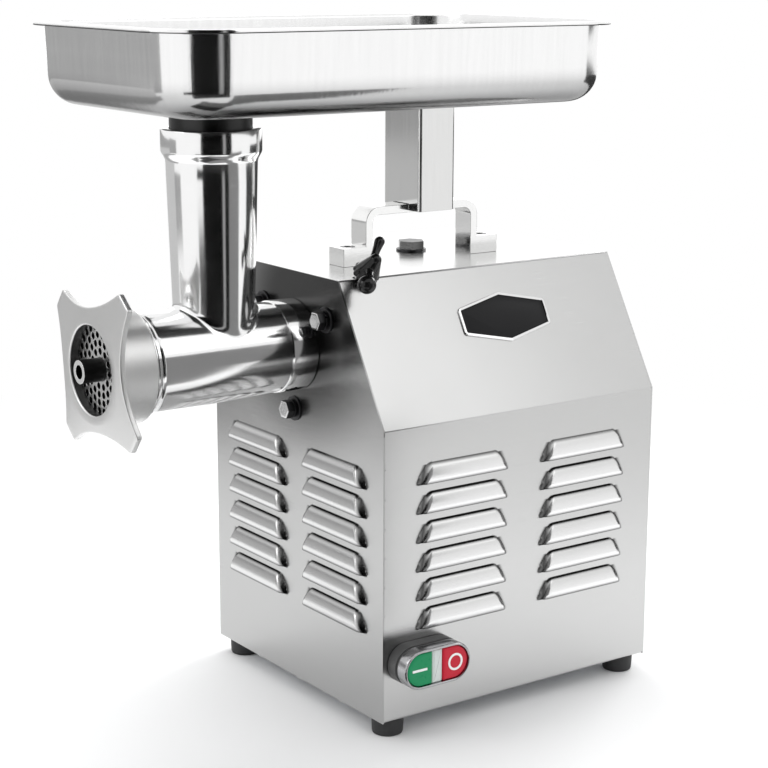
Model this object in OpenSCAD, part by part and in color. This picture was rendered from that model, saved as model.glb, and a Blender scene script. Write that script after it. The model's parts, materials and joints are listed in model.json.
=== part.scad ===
// Countertop electric meat grinder: a louvred sheet-metal body with a geared motor,
// a removable grinding head with an auger, knife and plate, and a feed pan on top.
// Machine coordinates: X runs from the head (left) to the right side, Y from the
// front panel to the back, Z up from the underside of the sheet body.

/* [Body] */
// Length of the sheet body, left to right
body_l = 260; // [250:1:300]
// Depth of the sheet body, front to back
body_w = 235; // [215:1:270]
// Height of the sheet body without its feet
body_h = 323; // [318:1:345]
// Height at which the front panel bends back
bend_h = 222; // [200:1:235]
// How far back the sloping panel runs
slope_run = 58; // [40:1:62]
// Thickness of the stainless sheet
sheet_t = 1.2; // [0.8:0.1:2]
// Width of the turned-in flanges
flange_w = 10; // [8:0.5:11]
// Thickness of the base plate
base_t = 1.5; // [1:0.1:3]

/* [Louvres] */
// Width of one louvre at its open lip
louvre_w = 84; // [60:1:90]
// Height of one louvre
louvre_h = 15; // [10:0.5:18]
// How far a louvre stands out from the sheet
louvre_d = 6; // [4:0.5:8]
// How much narrower each end of a louvre is at its top
louvre_taper = 7; // [3:0.5:12]
// Vertical distance between louvres
louvre_pitch = 22.1; // [20:0.1:24]
// Number of louvres in one column
louvre_rows = 6; // [3:1:6]
// Height of the lowest louvre lip on the front
front_louvre_z = 68.5; // [64:0.5:72]
// Height of the lowest louvre lip on the sides
side_louvre_z = 65; // [55:0.5:70]
// Distance between the centres of the two front columns
front_louvre_span = 116.5; // [95:0.5:130]
// Distance between the centres of the two side columns
side_louvre_span = 108.5; // [92:0.5:118]

/* [Feet] */
// Radius of a rubber foot where it meets the worktop
foot_r = 12.5; // [10:0.5:14]
// Height of a rubber foot
foot_h = 14; // [8:1:20]
// Distance of a foot's centre from the body's sides
foot_inset = 15; // [14.5:0.5:24]
// Radius of the screw through a foot
foot_screw_r = 2.5; // [2:0.5:3]

/* [Badge] */
// Width of the blank badge plate
badge_w = 83; // [50:1:100]
// Height of the badge plate at its middle
badge_h = 40; // [30:1:50]
// Height of the badge plate's short upright sides
badge_side_h = 21; // [10:1:28]
// Thickness of the badge plate
badge_t = 1.6; // [1:0.1:3]
// Distance of the badge's centre from the left side
badge_x = 138; // [100:1:160]
// Distance of the badge's centre up the slope from the bend
badge_rise = 73.5; // [60:0.5:80]

/* [Switch] */
// Overall length of the twin push-button switch
switch_l = 60; // [56:1:66]
// Overall height of the switch
switch_h = 30; // [26:1:34]
// How far the switch's rim stands out from the front panel
switch_d = 23; // [18:0.5:28]
// Distance of the switch's centre from the left side
switch_x = 34; // [34:0.5:45]
// Height of the switch's centre
switch_z = 45.2; // [30:0.1:46]
// Length of the metal ring along the switch's depth
switch_ring_d = 10; // [6:0.5:11]
// Wall of the metal ring
switch_ring_t = 2.2; // [1.8:0.1:3]
// Length of the groove round the switch behind its metal ring
switch_groove_l = 3; // [1:0.5:5]
// Depth of the groove round the switch
switch_groove_d = 1.2; // [0.4:0.1:1.4]
// Width of the pilot lens between the buttons
lens_w = 9; // [6:0.5:12]
// How far a button sinks when it is pushed
button_travel = 3; // [2:0.5:4]

/* [Head] */
// Height of the auger's axis above the underside of the body
axis_z = 267; // [264:0.5:268]
// Radius of the plate that the meat leaves through
plate_r = 35; // [34.5:0.5:36]
// Thickness of the perforated plate
plate_t = 6; // [4:0.5:8]
// Distance of the ring nut's front face from the body
nut_front = 171; // [165:1:180]
// Thickness of the ring nut's front wall
nut_face_t = 8; // [6:0.5:10]
// Thickness of the ring nut's ears
nut_ear_t = 4; // [3:0.5:5]
// How far the ears lean back at their tips
nut_sweep = 5; // [2:0.5:7]
// Distance from the axis to the flat end of an ear
nut_ear_r = 70.5; // [66:0.5:76]
// Half the width of an ear's flat end
nut_ear_half = 8.5; // [7:0.5:11]
// Distance from the axis to the hollow between two ears
nut_waist_r = 45; // [44.5:0.1:50]
// Turn of the ears about the axis
nut_turn = 39; // [0:1:89]
// Length of the ring nut's threaded skirt
nut_skirt_l = 25; // [22:1:32]
// Wall of the ring nut's skirt
nut_skirt_t = 2.4; // [2:0.1:4]
// How far the plate's rim is held by the ring nut
nut_lip = 2.5; // [1.5:0.1:3]
// Outer radius of the barrel at its front
barrel_front_r = 38; // [37:0.5:39]
// Outer radius of the barrel at its collar
barrel_rear_r = 34; // [33:0.5:34]
// Radius of the barrel's thread
thread_r = 39; // [38.5:0.5:40]
// Radius of the bore that the auger turns in
bore_r = 31; // [29:0.5:31.5]
// Radius of the collar that seats against the body
collar_r = 35; // [34.5:0.5:38]
// Length of the collar
collar_l = 22; // [16:1:28]
// Radius of the neck that plugs into the body
neck_r = 25; // [23:0.5:26]
// Length of the neck
neck_l = 34; // [32:1:34]

/* [Throat] */
// Distance of the throat's centre from the body
throat_x = 69.5; // [65:0.5:76]
// Outer radius of the throat where it meets the barrel
throat_low_r = 30; // [29:0.5:32]
// Outer radius of the throat under its collar
throat_top_r = 33.3; // [32.5:0.1:35]
// Outer radius of the throat's flared collar
throat_collar_r = 36.7; // [35.5:0.1:38]
// Height of the throat's top above the underside of the body
throat_top_z = 433; // [425:1:440]
// Height of the flared collar
throat_collar_h = 16; // [12:1:20]
// Radius of the feed opening down the throat
throat_bore_r = 26; // [24:0.5:27]
// Depth of the socket that the pan's spout sits in
spout_socket_d = 20; // [15:1:26]

/* [Auger] */
// Radius of the auger's core
auger_core_r = 12; // [10:0.5:14]
// Radial gap between the auger's flight and the bore
auger_gap = 0.8; // [0.5:0.1:1.5]
// Axial length of one turn of the flight
auger_pitch = 36; // [30:1:44]
// Thickness of the flight as an angle about the axis
flight_angle = 46; // [30:1:60]
// Radius of the stud that carries the knife and the plate
stud_r = 8.5; // [7.5:0.5:9.5]
// How far the stud stands out in front of the ring nut
stud_out = 8.5; // [2:0.5:12]
// Across-flats size of the knife's square
knife_square = 14; // [12:0.5:14.5]
// Thickness of the knife
knife_t = 7; // [5:0.5:8]

/* [Plate holes] */
// Radius of one hole in the plate
hole_r = 2.5; // [1.5:0.1:2.6]
// Number of rings of holes
hole_rings = 4; // [2:1:4]
// Radius of the first ring of holes
hole_first_r = 13; // [12.9:0.1:13.4]
// Distance from the outer ring of holes to the plate's edge
hole_margin = 4.3; // [4:0.1:5]
// Least distance along a ring between hole centres
hole_spacing = 6.9; // [6.2:0.1:8]

/* [Feed pan] */
// Length of the pan over its rim
pan_l = 394; // [360:1:440]
// Width of the pan over its rim
pan_w = 246; // [226:1:290]
// Depth of the pan
pan_h = 60; // [45:1:75]
// Height of the pan's floor above the throat's top
pan_gap = 14; // [8:0.5:20]
// Distance of the pan's centre from the body's left side
pan_x = 31; // [20:0.5:45]
// Outer radius of the pan's corners at the rim
pan_corner_r = 50; // [44:1:80]
// Width of the pan's flat rim
pan_rim = 8; // [5:0.5:12]
// Depth of the rim's turned-down lip
pan_lip = 3; // [2:0.5:5]
// How far the pan's walls lean in towards the floor
pan_draft = 1.5; // [0.5:0.5:6]
// Radius of the bend between the pan's walls and its floor
pan_bend_r = 22; // [10:1:26]
// Thickness of the pan's sheet
pan_t = 1.2; // [0.8:0.1:2]
// Outer radius of the spout under the pan
spout_r = 30; // [28.5:0.5:31]
// Width of the support post, left to right
post_l = 34; // [28:1:38]
// Depth of the support post, front to back
post_w = 47.5; // [43:0.5:60]
// Wall of the support post
post_t = 1.5; // [1:0.1:2.5]
// Distance of the post's centre from the body's left side
post_x = 116; // [100:1:126]
// How far the post's foot reaches down over the handle
post_hook = 5; // [3:0.5:8]

/* [Carry handle] */
// Length of the handle's loop
handle_l = 107; // [90:1:120]
// Height of the handle's loop above the body
handle_h = 44; // [36:1:56]
// Thickness of the handle's strap
handle_t = 6.4; // [5:0.1:8]
// Width of the handle's strap, front to back
handle_w = 20; // [16:0.5:24]
// Outer radius of the handle's corners
handle_r = 13; // [8:0.5:16]
// Length of one foot block
handle_foot_l = 20.5; // [18:0.5:28]
// Height of one foot block
handle_foot_h = 14; // [10:0.5:18]
// Distance of the handle's centre from the body's left side
handle_x = 112.5; // [108:0.5:116]
// Radius of a handle screw's shank
handle_screw_r = 3; // [2.5:0.5:4]

/* [Top plug] */
// Across-flats size of the hex plug
plug_af = 19; // [16:1:20]
// Height of the plug's head
plug_head_h = 8; // [6:0.5:10]
// Radius of the flange under the plug's head
plug_flange_r = 12; // [11.8:0.1:14]
// Distance of the plug from the body's left side
plug_x = 132.5; // [126:0.5:140]
// Distance of the plug behind the auger's axis
plug_back = 32.5; // [28.5:0.5:37.5]

/* [Locking knob] */
// Distance of the locking screw from the body's left side
knob_x = 22.5; // [20:0.5:25]
// Gap between the knob's turning wings and the sloping panel
knob_gap = 1.4; // [0.6:0.1:4]
// Length of one wing from the knob's axis
wing_l = 28.5; // [24:0.5:32]
// Thickness of the wings
wing_t = 8; // [6:0.5:10]
// Turn of the wings about the locking screw
wing_turn = 53; // [0:1:179]
// Radius of the knob's base
knob_base_r = 11; // [10:0.5:12]
// Radius of the locking screw
lock_screw_r = 5; // [4:0.5:6]

/* [Hub] */
// Circle of the three bolts that hold the hub
hub_bolt_pcd = 100; // [98:0.5:102]
// Radius of a hub bolt's shank
hub_bolt_r = 4; // [3:0.5:4.5]
// Across-flats size of a hub bolt's head
hub_bolt_af = 13; // [10:0.5:14]
// Height of a hub bolt's head
hub_bolt_head_h = 6.5; // [4:0.5:8]
// Radius of a hub bolt's washer
hub_washer_r = 9.5; // [8.5:0.5:11]
// Radius of the spring washer under a hub bolt's head
spring_washer_r = 7; // [6.5:0.1:8]
// Thickness of the spring washer
spring_washer_t = 2.2; // [1.5:0.1:3]
// Outer radius of the hub's socket
hub_r = 34; // [31:0.5:35]
// Length of the hub
hub_l = 48; // [47:1:50]

/* [Gear train] */
// Size of the gear teeth, as the module
gear_module = 1.9; // [1.8:0.01:1.92]
// Width of the output gear's face
output_face = 14; // [12:0.5:14]
// Width of the middle gear's face
middle_face = 12; // [10:0.5:12]
// Play between meshed teeth
gear_backlash = 0.4; // [0.3:0.05:0.6]
// Wall of the gearbox casting
gearbox_wall = 5; // [4:0.5:6]

/* [Motor] */
// Outer radius of the motor's shell
motor_r = 62; // [56:0.5:64]
// Gap between the tail of the motor's shaft and the body's right side
motor_tail_gap = 15; // [12.5:0.5:21]
// Outer radius of the rotor
rotor_r = 32; // [28:0.5:34]
// Room at each end of the laminated stack for the windings
winding_room = 22; // [20:0.5:26]
// Air gap between the rotor and the stator
air_gap = 0.5; // [0.3:0.1:1]
// Radius of the motor's shaft
motor_shaft_r = 8.5; // [8:0.1:9]
// Radius of the motor's capacitor
capacitor_r = 17.5; // [12:0.5:18]
// Length of the motor's capacitor
capacitor_l = 62; // [50:1:70]

/* [Clearances] */
// Gap between parts that slide or lift apart
slide_gap = 0.3; // [0.2:0.05:0.4]
// Radial gap of a running fit
run_gap = 0.05; // [0.02:0.01:0.09]
// Gap between curved seats that are clamped together
seat_gap = 0.1; // [0.05:0.05:0.2]

/* [Hidden] */
$fn = 72;

// Heights, sides and the auger's axis
axis_y = body_w / 2;
slope_rise = body_h - bend_h;
slope_len = sqrt(slope_run * slope_run + slope_rise * slope_rise);
slope_angle = atan2(slope_rise, slope_run);
body_inner_l = body_l - 2 * sheet_t;
over = 1;

// The locking screw comes out just behind the bend between the sloping panel and the top
lock_behind = 1.2;
lock_rise = body_h - axis_z;
lock_run = axis_y - slope_run - lock_behind;
lock_angle = atan2(lock_rise, lock_run);
lock_tilt = abs(lock_angle + slope_angle - 90);
wing_end_r = 9;
wing_end_up = 2;
knob_reach = sqrt(lock_rise * lock_rise + lock_run * lock_run)
    + (wing_l - wing_end_r) * tan(lock_tilt) - wing_end_up
    + (wing_end_r + knob_gap + lock_behind * sin(slope_angle)) / cos(lock_tilt);

// Feed pan heights
pan_floor_z = throat_top_z + pan_gap;
pan_rim_z = pan_floor_z + pan_h;
pan_wall_inset = pan_rim + pan_t;

// Head stations along X, measured from the body's left side
nut_back = nut_front - nut_face_t;
plate_front = nut_back - slide_gap;
plate_back = plate_front - plate_t;
plate_seat_l = plate_t + knife_t + 2;
skirt_end = nut_back - nut_skirt_l;
thread_front = plate_front - plate_t / 2;
thread_end = skirt_end - 2;
knife_front = plate_back - slide_gap;
knife_back = knife_front - knife_t;
flight_front = knife_back - 1;
flight_back = collar_l + 4;
collar_back = slide_gap;
stud_front = nut_front + stud_out;
hole_ring_step = (plate_r - hole_margin - hole_first_r) / (hole_rings - 1);
stud_hole_r = stud_r + seat_gap;
nut_thread_r = thread_r + slide_gap;
nut_skirt_r = nut_thread_r + nut_skirt_t;
nut_open_r = plate_r - nut_lip;
ear_corner_sq = nut_ear_r * nut_ear_r + nut_ear_half * nut_ear_half;
ear_corner_mid = (nut_ear_r + nut_ear_half) / sqrt(2);
ear_cut_d = (ear_corner_sq - nut_waist_r * nut_waist_r) / (2 * (ear_corner_mid - nut_waist_r));
ear_cut_r = ear_cut_d - nut_waist_r;
flight_r = bore_r - auger_gap;
shank_r = 12;
bush_r = shank_r + run_gap + 3;
plate_pin_r = 2;

// Teeth of the two reduction stages, 44 on 16 and then 54 on 18
output_teeth = 44;
middle_pinion_teeth = 16;
middle_teeth = 54;
motor_pinion_teeth = 18;

// Drive stations along X, inside the body
tang_w = 8;
tang_l = 9;
tang_half_h = 10;
shank_end = neck_l + 2;
shaft_head_r = 15;
shaft_head_l = 11;
output_shaft_r = 12.5;
output_bearing_r = 26;
output_bearing_w = 12;
gearbox_x = hub_l;
first_bearing_x = gearbox_x + 1;
second_bearing_x = first_bearing_x + output_bearing_w + 5;
output_gear_x = second_bearing_x + output_bearing_w + 4;
middle_gear_x = output_gear_x + output_face + 3;
cover_x = middle_gear_x + middle_face + 1;
cover_t = 10;
motor_x = cover_x + cover_t;
end_cover_t = 6;
fan_l = 11;
motor_l = body_l - motor_x - end_cover_t - fan_l - 2 - motor_tail_gap;
motor_end = motor_x + motor_l;
stack_l = motor_l - 2 * winding_room;
stack_x = motor_x + winding_room;
middle_z = axis_z - gear_module * (output_teeth + middle_pinion_teeth) / 2;
motor_z = middle_z - gear_module * (middle_teeth + motor_pinion_teeth) / 2;
output_tip_r = gear_module * (output_teeth / 2 + 1);
middle_tip_r = gear_module * (middle_teeth / 2 + 1);
middle_shaft_r = 7.5;
small_bearing_r = 16;
small_bearing_w = 9;
motor_bearing_r = 17.5;
motor_bearing_w = 9;
motor_shell_t = 3;
stator_r = motor_r - motor_shell_t - seat_gap;
casting_gap = 1.5;
bracket_w = 1.6 * motor_r;
saddle_w = 1.36 * motor_r;
saddle_t = 4;
bracket_t = 3;
capacitor_y = body_w - capacitor_r - 24.5;
capacitor_z = sheet_t + base_t + capacitor_r + 2.5;
clip_w = 14;
clip_t = 2;
fan_r = 52;
stiffener_t = 4;
stiffener_z = body_h - sheet_t - stiffener_t;
stiffener_margin = 8;
stiffener_front = 32;
plug_y = axis_y + plug_back;

// Screws and washers
washer_t = 1.6;
glue_t = 0.05;
hub_boss_l = 14;
under_head = washer_t + spring_washer_t;
nut_h = 4;

// Switch stack, measured outwards from the front panel
switch_base_d = switch_d - switch_ring_d;
button_gap = 0.3;
cap_l = (switch_l - 2 * switch_ring_t - lens_w) / 2;
cap_depth = 14;
cap_stem_w = 8;
switch_neck = 14;
contact_d = 30;

// Cord gland at the back
gland_x = body_l - 42;
gland_z = 32;
gland_r = 9;
gland_flange_r = 13;
gland_out = 14;
gland_bore_r = 4.2;

// The part's box, used to centre it on the worktop
left_end = min(-stud_front, pan_x - pan_l / 2);
right_end = max(body_l + louvre_d, pan_x + pan_l / 2);
front_end = min(-switch_d, axis_y - pan_w / 2);
back_end = max(body_w + gland_out, axis_y + pan_w / 2);
mid_x = (left_end + right_end) / 2;
mid_y = (front_end + back_end) / 2;

// ---- Helpers -------------------------------------------------------------

// Moves machine coordinates so that the part stands centred on the worktop
module on_worktop()
    translate([-mid_x, -mid_y, foot_h]) children();

// Puts a shape drawn about +Z on an axis along +X
module along_x(x, z)
    translate([x, axis_y, z]) rotate([0, 90, 0]) children();

// Extrudes an outline drawn in Y and Z along X
module across(x, length)
    translate([x, 0, 0]) rotate([90, 0, 90]) linear_extrude(length) children();

// A tube about +Z
module tube(length, outer, inner)
    difference() {
        cylinder(h = length, r = outer);
        translate([0, 0, -over]) cylinder(h = length + 2 * over, r = inner);
    }

// A slot shape with round ends, drawn about the origin
module stadium(length, height)
    union() {
        square([length - height, height], center = true);
        for (side = [-1, 1])
            translate([side * (length - height) / 2, 0]) circle(d = height);
    }

// A rectangle with round corners, drawn about the origin
module round_rect(length, width, radius)
    union() {
        square([length - 2 * radius, width], center = true);
        square([length, width - 2 * radius], center = true);
        for (sx = [-1, 1], sy = [-1, 1])
            translate([sx * (length / 2 - radius), sy * (width / 2 - radius)])
                circle(r = radius);
    }

// A hexagonal prism by its across-flats size
module hex_prism(flats, height)
    cylinder(h = height, r = flats / sqrt(3), $fn = 6);

// The body's side outline, moved inwards by inset, with its own bottom edge
function side_outline(inset, bottom) =
    let (rise = slope_rise / slope_len,
         run = slope_run / slope_len,
         low_z = bend_h - inset * run + (inset - inset * rise) * slope_rise / slope_run,
         top_y = inset * rise + (slope_rise - inset + inset * run) * slope_run / slope_rise)
    [[inset, bottom], [inset, low_z], [top_y, body_h - inset],
     [body_w - inset, body_h - inset], [body_w - inset, bottom]];

// ---- Louvres -------------------------------------------------------------

// Quarter-ellipse section of a louvre: outwards is -X here, up is +Y
module louvre_section(depth, height, into)
    polygon(concat(
        [[into, 0]],
        [for (a = [0 : 15 : 90]) [-depth * cos(a), height * sin(a)]],
        [[into, height]]));

// Solid louvre form on a panel that faces -Y, inset by a wall all round
module louvre_form(wall, into)
    intersection() {
        across(-louvre_w / 2 + wall, louvre_w - 2 * wall)
            louvre_section(louvre_d - wall, louvre_h - wall, into);
        rotate([90, 0, 0]) translate([0, 0, -into - over])
            linear_extrude(louvre_d + into + 2 * over)
                polygon([
                    [-louvre_w / 2 + wall, -over], [louvre_w / 2 - wall, -over],
                    [louvre_w / 2 - wall, 0], [louvre_w / 2 - wall - louvre_taper, louvre_h],
                    [-louvre_w / 2 + wall + louvre_taper, louvre_h],
                    [-louvre_w / 2 + wall, 0]]);
    }

// Places a child at every louvre of a two-column panel
module louvre_places(centre, span, low_z)
    for (column = [-1, 1], row = [0 : louvre_rows - 1])
        translate([centre + column * span / 2, 0, low_z + row * louvre_pitch])
            children();

// Presses louvres into a panel given as the child, which faces -Y
module with_louvres(centre, span, low_z)
    difference() {
        union() {
            children();
            louvre_places(centre, span, low_z) louvre_form(0, sheet_t / 2);
        }
        louvre_places(centre, span, low_z) louvre_form(sheet_t, sheet_t + over);
        louvre_places(centre, span, low_z)
            translate([-louvre_w / 2 + sheet_t, -louvre_d + sheet_t, -over / 2])
                cube([louvre_w - 2 * sheet_t, louvre_d - sheet_t, over]);
    }

// ---- Body panels ---------------------------------------------------------

// Front, slope, top and back, bent from one sheet
module main_cover()
    on_worktop() color([0.80, 0.80, 0.79])
        difference() {
            with_louvres(body_l / 2, front_louvre_span, front_louvre_z)
                union() {
                    across(sheet_t, body_inner_l)
                        difference() {
                            polygon(side_outline(0, 0));
                            polygon(side_outline(sheet_t, -over));
                        }
                    for (y = [0, body_w - flange_w])
                        translate([flange_w + over, y, 0])
                            cube([body_l - 2 * flange_w - 2 * over, flange_w, sheet_t]);
                }
            translate([switch_x, over, switch_z]) rotate([90, 0, 0])
                translate([0, 0, -sheet_t - over]) linear_extrude(sheet_t + 3 * over)
                    stadium(switch_l - switch_neck + 1, switch_h - switch_neck + 1);
            lock_axis() translate([0, 0, hub_r + over])
                cylinder(h = knob_reach - hub_r, r = lock_screw_r + 1.5);
            for (x = handle_screw_places())
                translate([x, axis_y, body_h - sheet_t - over])
                    cylinder(h = sheet_t + 2 * over, r = handle_screw_r + seat_gap);
            translate([plug_x, plug_y, body_h - sheet_t - over])
                cylinder(h = sheet_t + 2 * over, r = plug_shank_r() + seat_gap);
            translate([gland_x, body_w + over, gland_z]) rotate([90, 0, 0])
                cylinder(h = sheet_t + 2 * over, r = gland_r + seat_gap);
        }

// One side sheet with its turned-in flanges, drawn as the left one
module side_sheet()
    union() {
        across(0, sheet_t) polygon(side_outline(0, 0));
        across(sheet_t / 2, flange_w - sheet_t / 2)
            difference() {
                polygon(side_outline(sheet_t, 0));
                polygon(side_outline(2 * sheet_t, sheet_t));
            }
    }

// Holes for the screws that hold the base plate
module base_screw_places()
    for (x = [flange_w / 2 + sheet_t / 2, body_l - flange_w / 2 - sheet_t / 2],
         share = [-1, 0, 1])
        translate([x, axis_y + share * body_w / 4, 0]) children();

module louvred_side()
    rotate([0, 0, -90]) translate([-body_w, 0, 0])
        with_louvres(body_w / 2, side_louvre_span, side_louvre_z)
            translate([body_w, 0, 0]) rotate([0, 0, 90]) side_sheet();

module left_panel()
    on_worktop() color([0.72, 0.72, 0.71])
        difference() {
            louvred_side();
            along_x(-over, axis_z) cylinder(h = sheet_t + 2 * over, r = hub_nose_r() + slide_gap);
            hub_bolt_places() translate([0, 0, -over])
                cylinder(h = sheet_t + 2 * over, r = hub_bolt_r + slide_gap);
            base_screw_places() translate([0, 0, -over])
                cylinder(h = sheet_t + 2 * over, r = base_screw_r() + seat_gap);
        }

module right_panel()
    on_worktop() color([0.72, 0.72, 0.71])
        difference() {
            translate([body_l, 0, 0]) mirror([1, 0, 0]) louvred_side();
            base_screw_places() translate([0, 0, -over])
                cylinder(h = sheet_t + 2 * over, r = base_screw_r() + seat_gap);
        }

module base_plate()
    on_worktop() color([0.60, 0.61, 0.62])
        difference() {
            translate([sheet_t + seat_gap, 2 * sheet_t + seat_gap, sheet_t])
                cube([body_inner_l - 2 * seat_gap,
                      body_w - 4 * sheet_t - 2 * seat_gap, base_t]);
            foot_places() cylinder(h = sheet_t + base_t + over, r = foot_screw_r + seat_gap);
            base_screw_places()
                cylinder(h = sheet_t + base_t + over, r = base_screw_r() + seat_gap);
        }

function base_screw_r() = 2;

module base_screws()
    on_worktop() color([0.55, 0.56, 0.57])
        base_screw_places() {
            cylinder(h = sheet_t + base_t + 3, r = base_screw_r());
            translate([0, 0, -2]) cylinder(h = 2, r = 2 * base_screw_r());
        }

// ---- Feet ----------------------------------------------------------------

module foot_places()
    for (x = [foot_inset, body_l - foot_inset], y = [foot_inset, body_w - foot_inset])
        translate([x, y, 0]) children();

module rubber_feet()
    on_worktop() color([0.05, 0.05, 0.05])
        foot_places()
            difference() {
                translate([0, 0, -foot_h])
                    cylinder(h = foot_h, r1 = foot_r - 1, r2 = foot_r);
                translate([0, 0, -foot_h - over]) cylinder(h = foot_h / 2 + over, r = 5.5);
                translate([0, 0, -foot_h]) cylinder(h = foot_h + over, r = foot_screw_r + seat_gap);
            }

module foot_screws()
    on_worktop() color([0.55, 0.56, 0.57])
        foot_places() {
            translate([0, 0, -foot_h / 2]) {
                cylinder(h = foot_h / 2 + sheet_t + base_t + nut_h + 1, r = foot_screw_r);
                translate([0, 0, -3]) cylinder(h = 3, r = 4.8);
            }
            translate([0, 0, sheet_t + base_t]) hex_prism(8, nut_h);
        }

// ---- Badge ---------------------------------------------------------------

// Blank six-sided plate on the sloping panel
module badge_plate()
    on_worktop() color([0.05, 0.05, 0.05])
        translate([badge_x, 0, bend_h]) rotate([slope_angle, 0, 0])
            translate([0, badge_rise, glue_t])
                linear_extrude(badge_t)
                    polygon([
                        [-badge_w / 2, -badge_side_h / 2], [0, -badge_h / 2],
                        [badge_w / 2, -badge_side_h / 2], [badge_w / 2, badge_side_h / 2],
                        [0, badge_h / 2], [-badge_w / 2, badge_side_h / 2]]);

// ---- Switch --------------------------------------------------------------

// Puts a shape drawn about +Z, outwards, on the front panel at the switch
module at_switch(out)
    translate([switch_x, -out, switch_z]) rotate([90, 0, 0]) children();

// Outline of one button cap; side is -1 for start on the left, 1 for stop
module cap_outline(side, gap)
    intersection() {
        stadium(switch_l - 2 * switch_ring_t - 2 * gap, switch_h - 2 * switch_ring_t - 2 * gap);
        translate([side * (lens_w + cap_l) / 2, 0])
            square([cap_l - 2 * gap, switch_h], center = true);
    }

module switch_housing()
    on_worktop() color([0.10, 0.10, 0.11])
        difference() {
            union() {
                at_switch(0) linear_extrude(switch_base_d - switch_groove_l)
                    stadium(switch_l, switch_h);
                at_switch(0) linear_extrude(switch_base_d)
                    stadium(switch_l - 2 * switch_groove_d, switch_h - 2 * switch_groove_d);
                at_switch(-sheet_t - 12) linear_extrude(sheet_t + 12 + over)
                    stadium(switch_l - switch_neck, switch_h - switch_neck);
            }
            for (side = [-1, 1]) {
                at_switch(switch_d - cap_depth - button_travel)
                    linear_extrude(cap_depth) cap_outline(side, 0);
                at_switch(-sheet_t - 12 - over) linear_extrude(sheet_t + 12 + switch_d)
                    translate([side * (lens_w + cap_l) / 2, 0])
                        square([cap_stem_w, cap_stem_w], center = true);
            }
        }

module switch_bezel()
    on_worktop() color([0.70, 0.70, 0.70])
        at_switch(switch_base_d)
            linear_extrude(switch_ring_d)
                difference() {
                    stadium(switch_l, switch_h);
                    stadium(switch_l - 2 * switch_ring_t, switch_h - 2 * switch_ring_t);
                }

module pilot_lens()
    on_worktop() color([0.85, 0.90, 0.88])
        at_switch(switch_base_d)
            linear_extrude(switch_ring_d - 1)
                square([lens_w, switch_h - 2 * switch_ring_t - seat_gap], center = true);

// A button cap with its stem; the stem passes through the housing
module button(side)
    union() {
        at_switch(switch_d - cap_depth + slide_gap)
            linear_extrude(cap_depth - slide_gap - 1) cap_outline(side, button_gap);
        at_switch(-sheet_t - 12 - 2) linear_extrude(sheet_t + 14 + switch_d - cap_depth + 1)
            translate([side * (lens_w + cap_l) / 2, 0])
                square([cap_stem_w - 2 * button_gap, cap_stem_w - 2 * button_gap], center = true);
    }

module start_button()
    on_worktop() color([0.08, 0.55, 0.35]) button(-1);

module stop_button()
    on_worktop() color([0.78, 0.16, 0.24]) button(1);

module contact_block()
    on_worktop() color([0.15, 0.15, 0.16])
        difference() {
            at_switch(-sheet_t - 12 - contact_d)
                linear_extrude(contact_d)
                    square([switch_l - switch_neck, switch_h - 8], center = true);
            for (side = [-1, 1])
                at_switch(-sheet_t - 12 - 8) linear_extrude(8 + over)
                    translate([side * (lens_w + cap_l) / 2, 0])
                        square([cap_stem_w, cap_stem_w], center = true);
        }

// ---- Hub that carries the head -------------------------------------------

function hub_nose_r() = hub_r - 3;

// The three bolt positions about the auger's axis; outwards is -Z of the child
module hub_bolt_places()
    for (k = [0 : 2])
        along_x(0, axis_z) rotate([0, 0, k * 120])
            translate([hub_bolt_pcd / 2, 0, 0]) children();

// Axis of the locking screw: square to the auger's axis, up and forwards
module lock_axis()
    translate([knob_x, axis_y, axis_z]) rotate([90 - lock_angle, 0, 0]) children();

module head_hub()
    on_worktop() color([0.35, 0.36, 0.37])
        difference() {
            union() {
                along_x(0, axis_z) cylinder(h = hub_l, r = hub_nose_r());
                along_x(sheet_t, axis_z) cylinder(h = hub_l - sheet_t, r = hub_r);
                hub_bolt_places() translate([0, 0, sheet_t]) cylinder(h = hub_boss_l, r = 9);
                for (k = [0 : 2])
                    along_x(sheet_t, axis_z) rotate([0, 0, k * 120])
                        translate([0, -9, 0]) cube([hub_bolt_pcd / 2, 18, hub_boss_l]);
                lock_axis() cylinder(h = hub_r + 8, r = lock_screw_r + 5);
            }
            along_x(-over, axis_z) cylinder(h = hub_l + 2 * over, r = neck_r + seat_gap);
            hub_bolt_places()
                cylinder(h = hub_boss_l + sheet_t + over, r = hub_bolt_r + run_gap);
            lock_axis() cylinder(h = hub_r + 9, r = lock_screw_r + run_gap);
        }

module hub_bolts()
    on_worktop() color([0.50, 0.50, 0.50])
        hub_bolt_places() {
            translate([0, 0, -under_head])
                cylinder(h = under_head + sheet_t + hub_boss_l - 2, r = hub_bolt_r);
            translate([0, 0, -under_head - hub_bolt_head_h])
                hex_prism(hub_bolt_af, hub_bolt_head_h);
        }

module hub_washers()
    on_worktop() color([0.65, 0.65, 0.65])
        hub_bolt_places() translate([0, 0, -washer_t])
            tube(washer_t, hub_washer_r, hub_bolt_r + run_gap);

// Split rings between the flat washers and the bolt heads
module spring_washers()
    on_worktop() color([0.45, 0.45, 0.46])
        hub_bolt_places() translate([0, 0, -under_head])
            difference() {
                tube(spring_washer_t, spring_washer_r, hub_bolt_r + run_gap);
                translate([0, -0.5, -over]) cube([spring_washer_r + over, 1, spring_washer_t + 2 * over]);
            }

// ---- Gearbox -------------------------------------------------------------

// Involute of a circle: the angle between the base point and pressure angle a
function involute(a) = tan(a) * 180 / PI - a;

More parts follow.
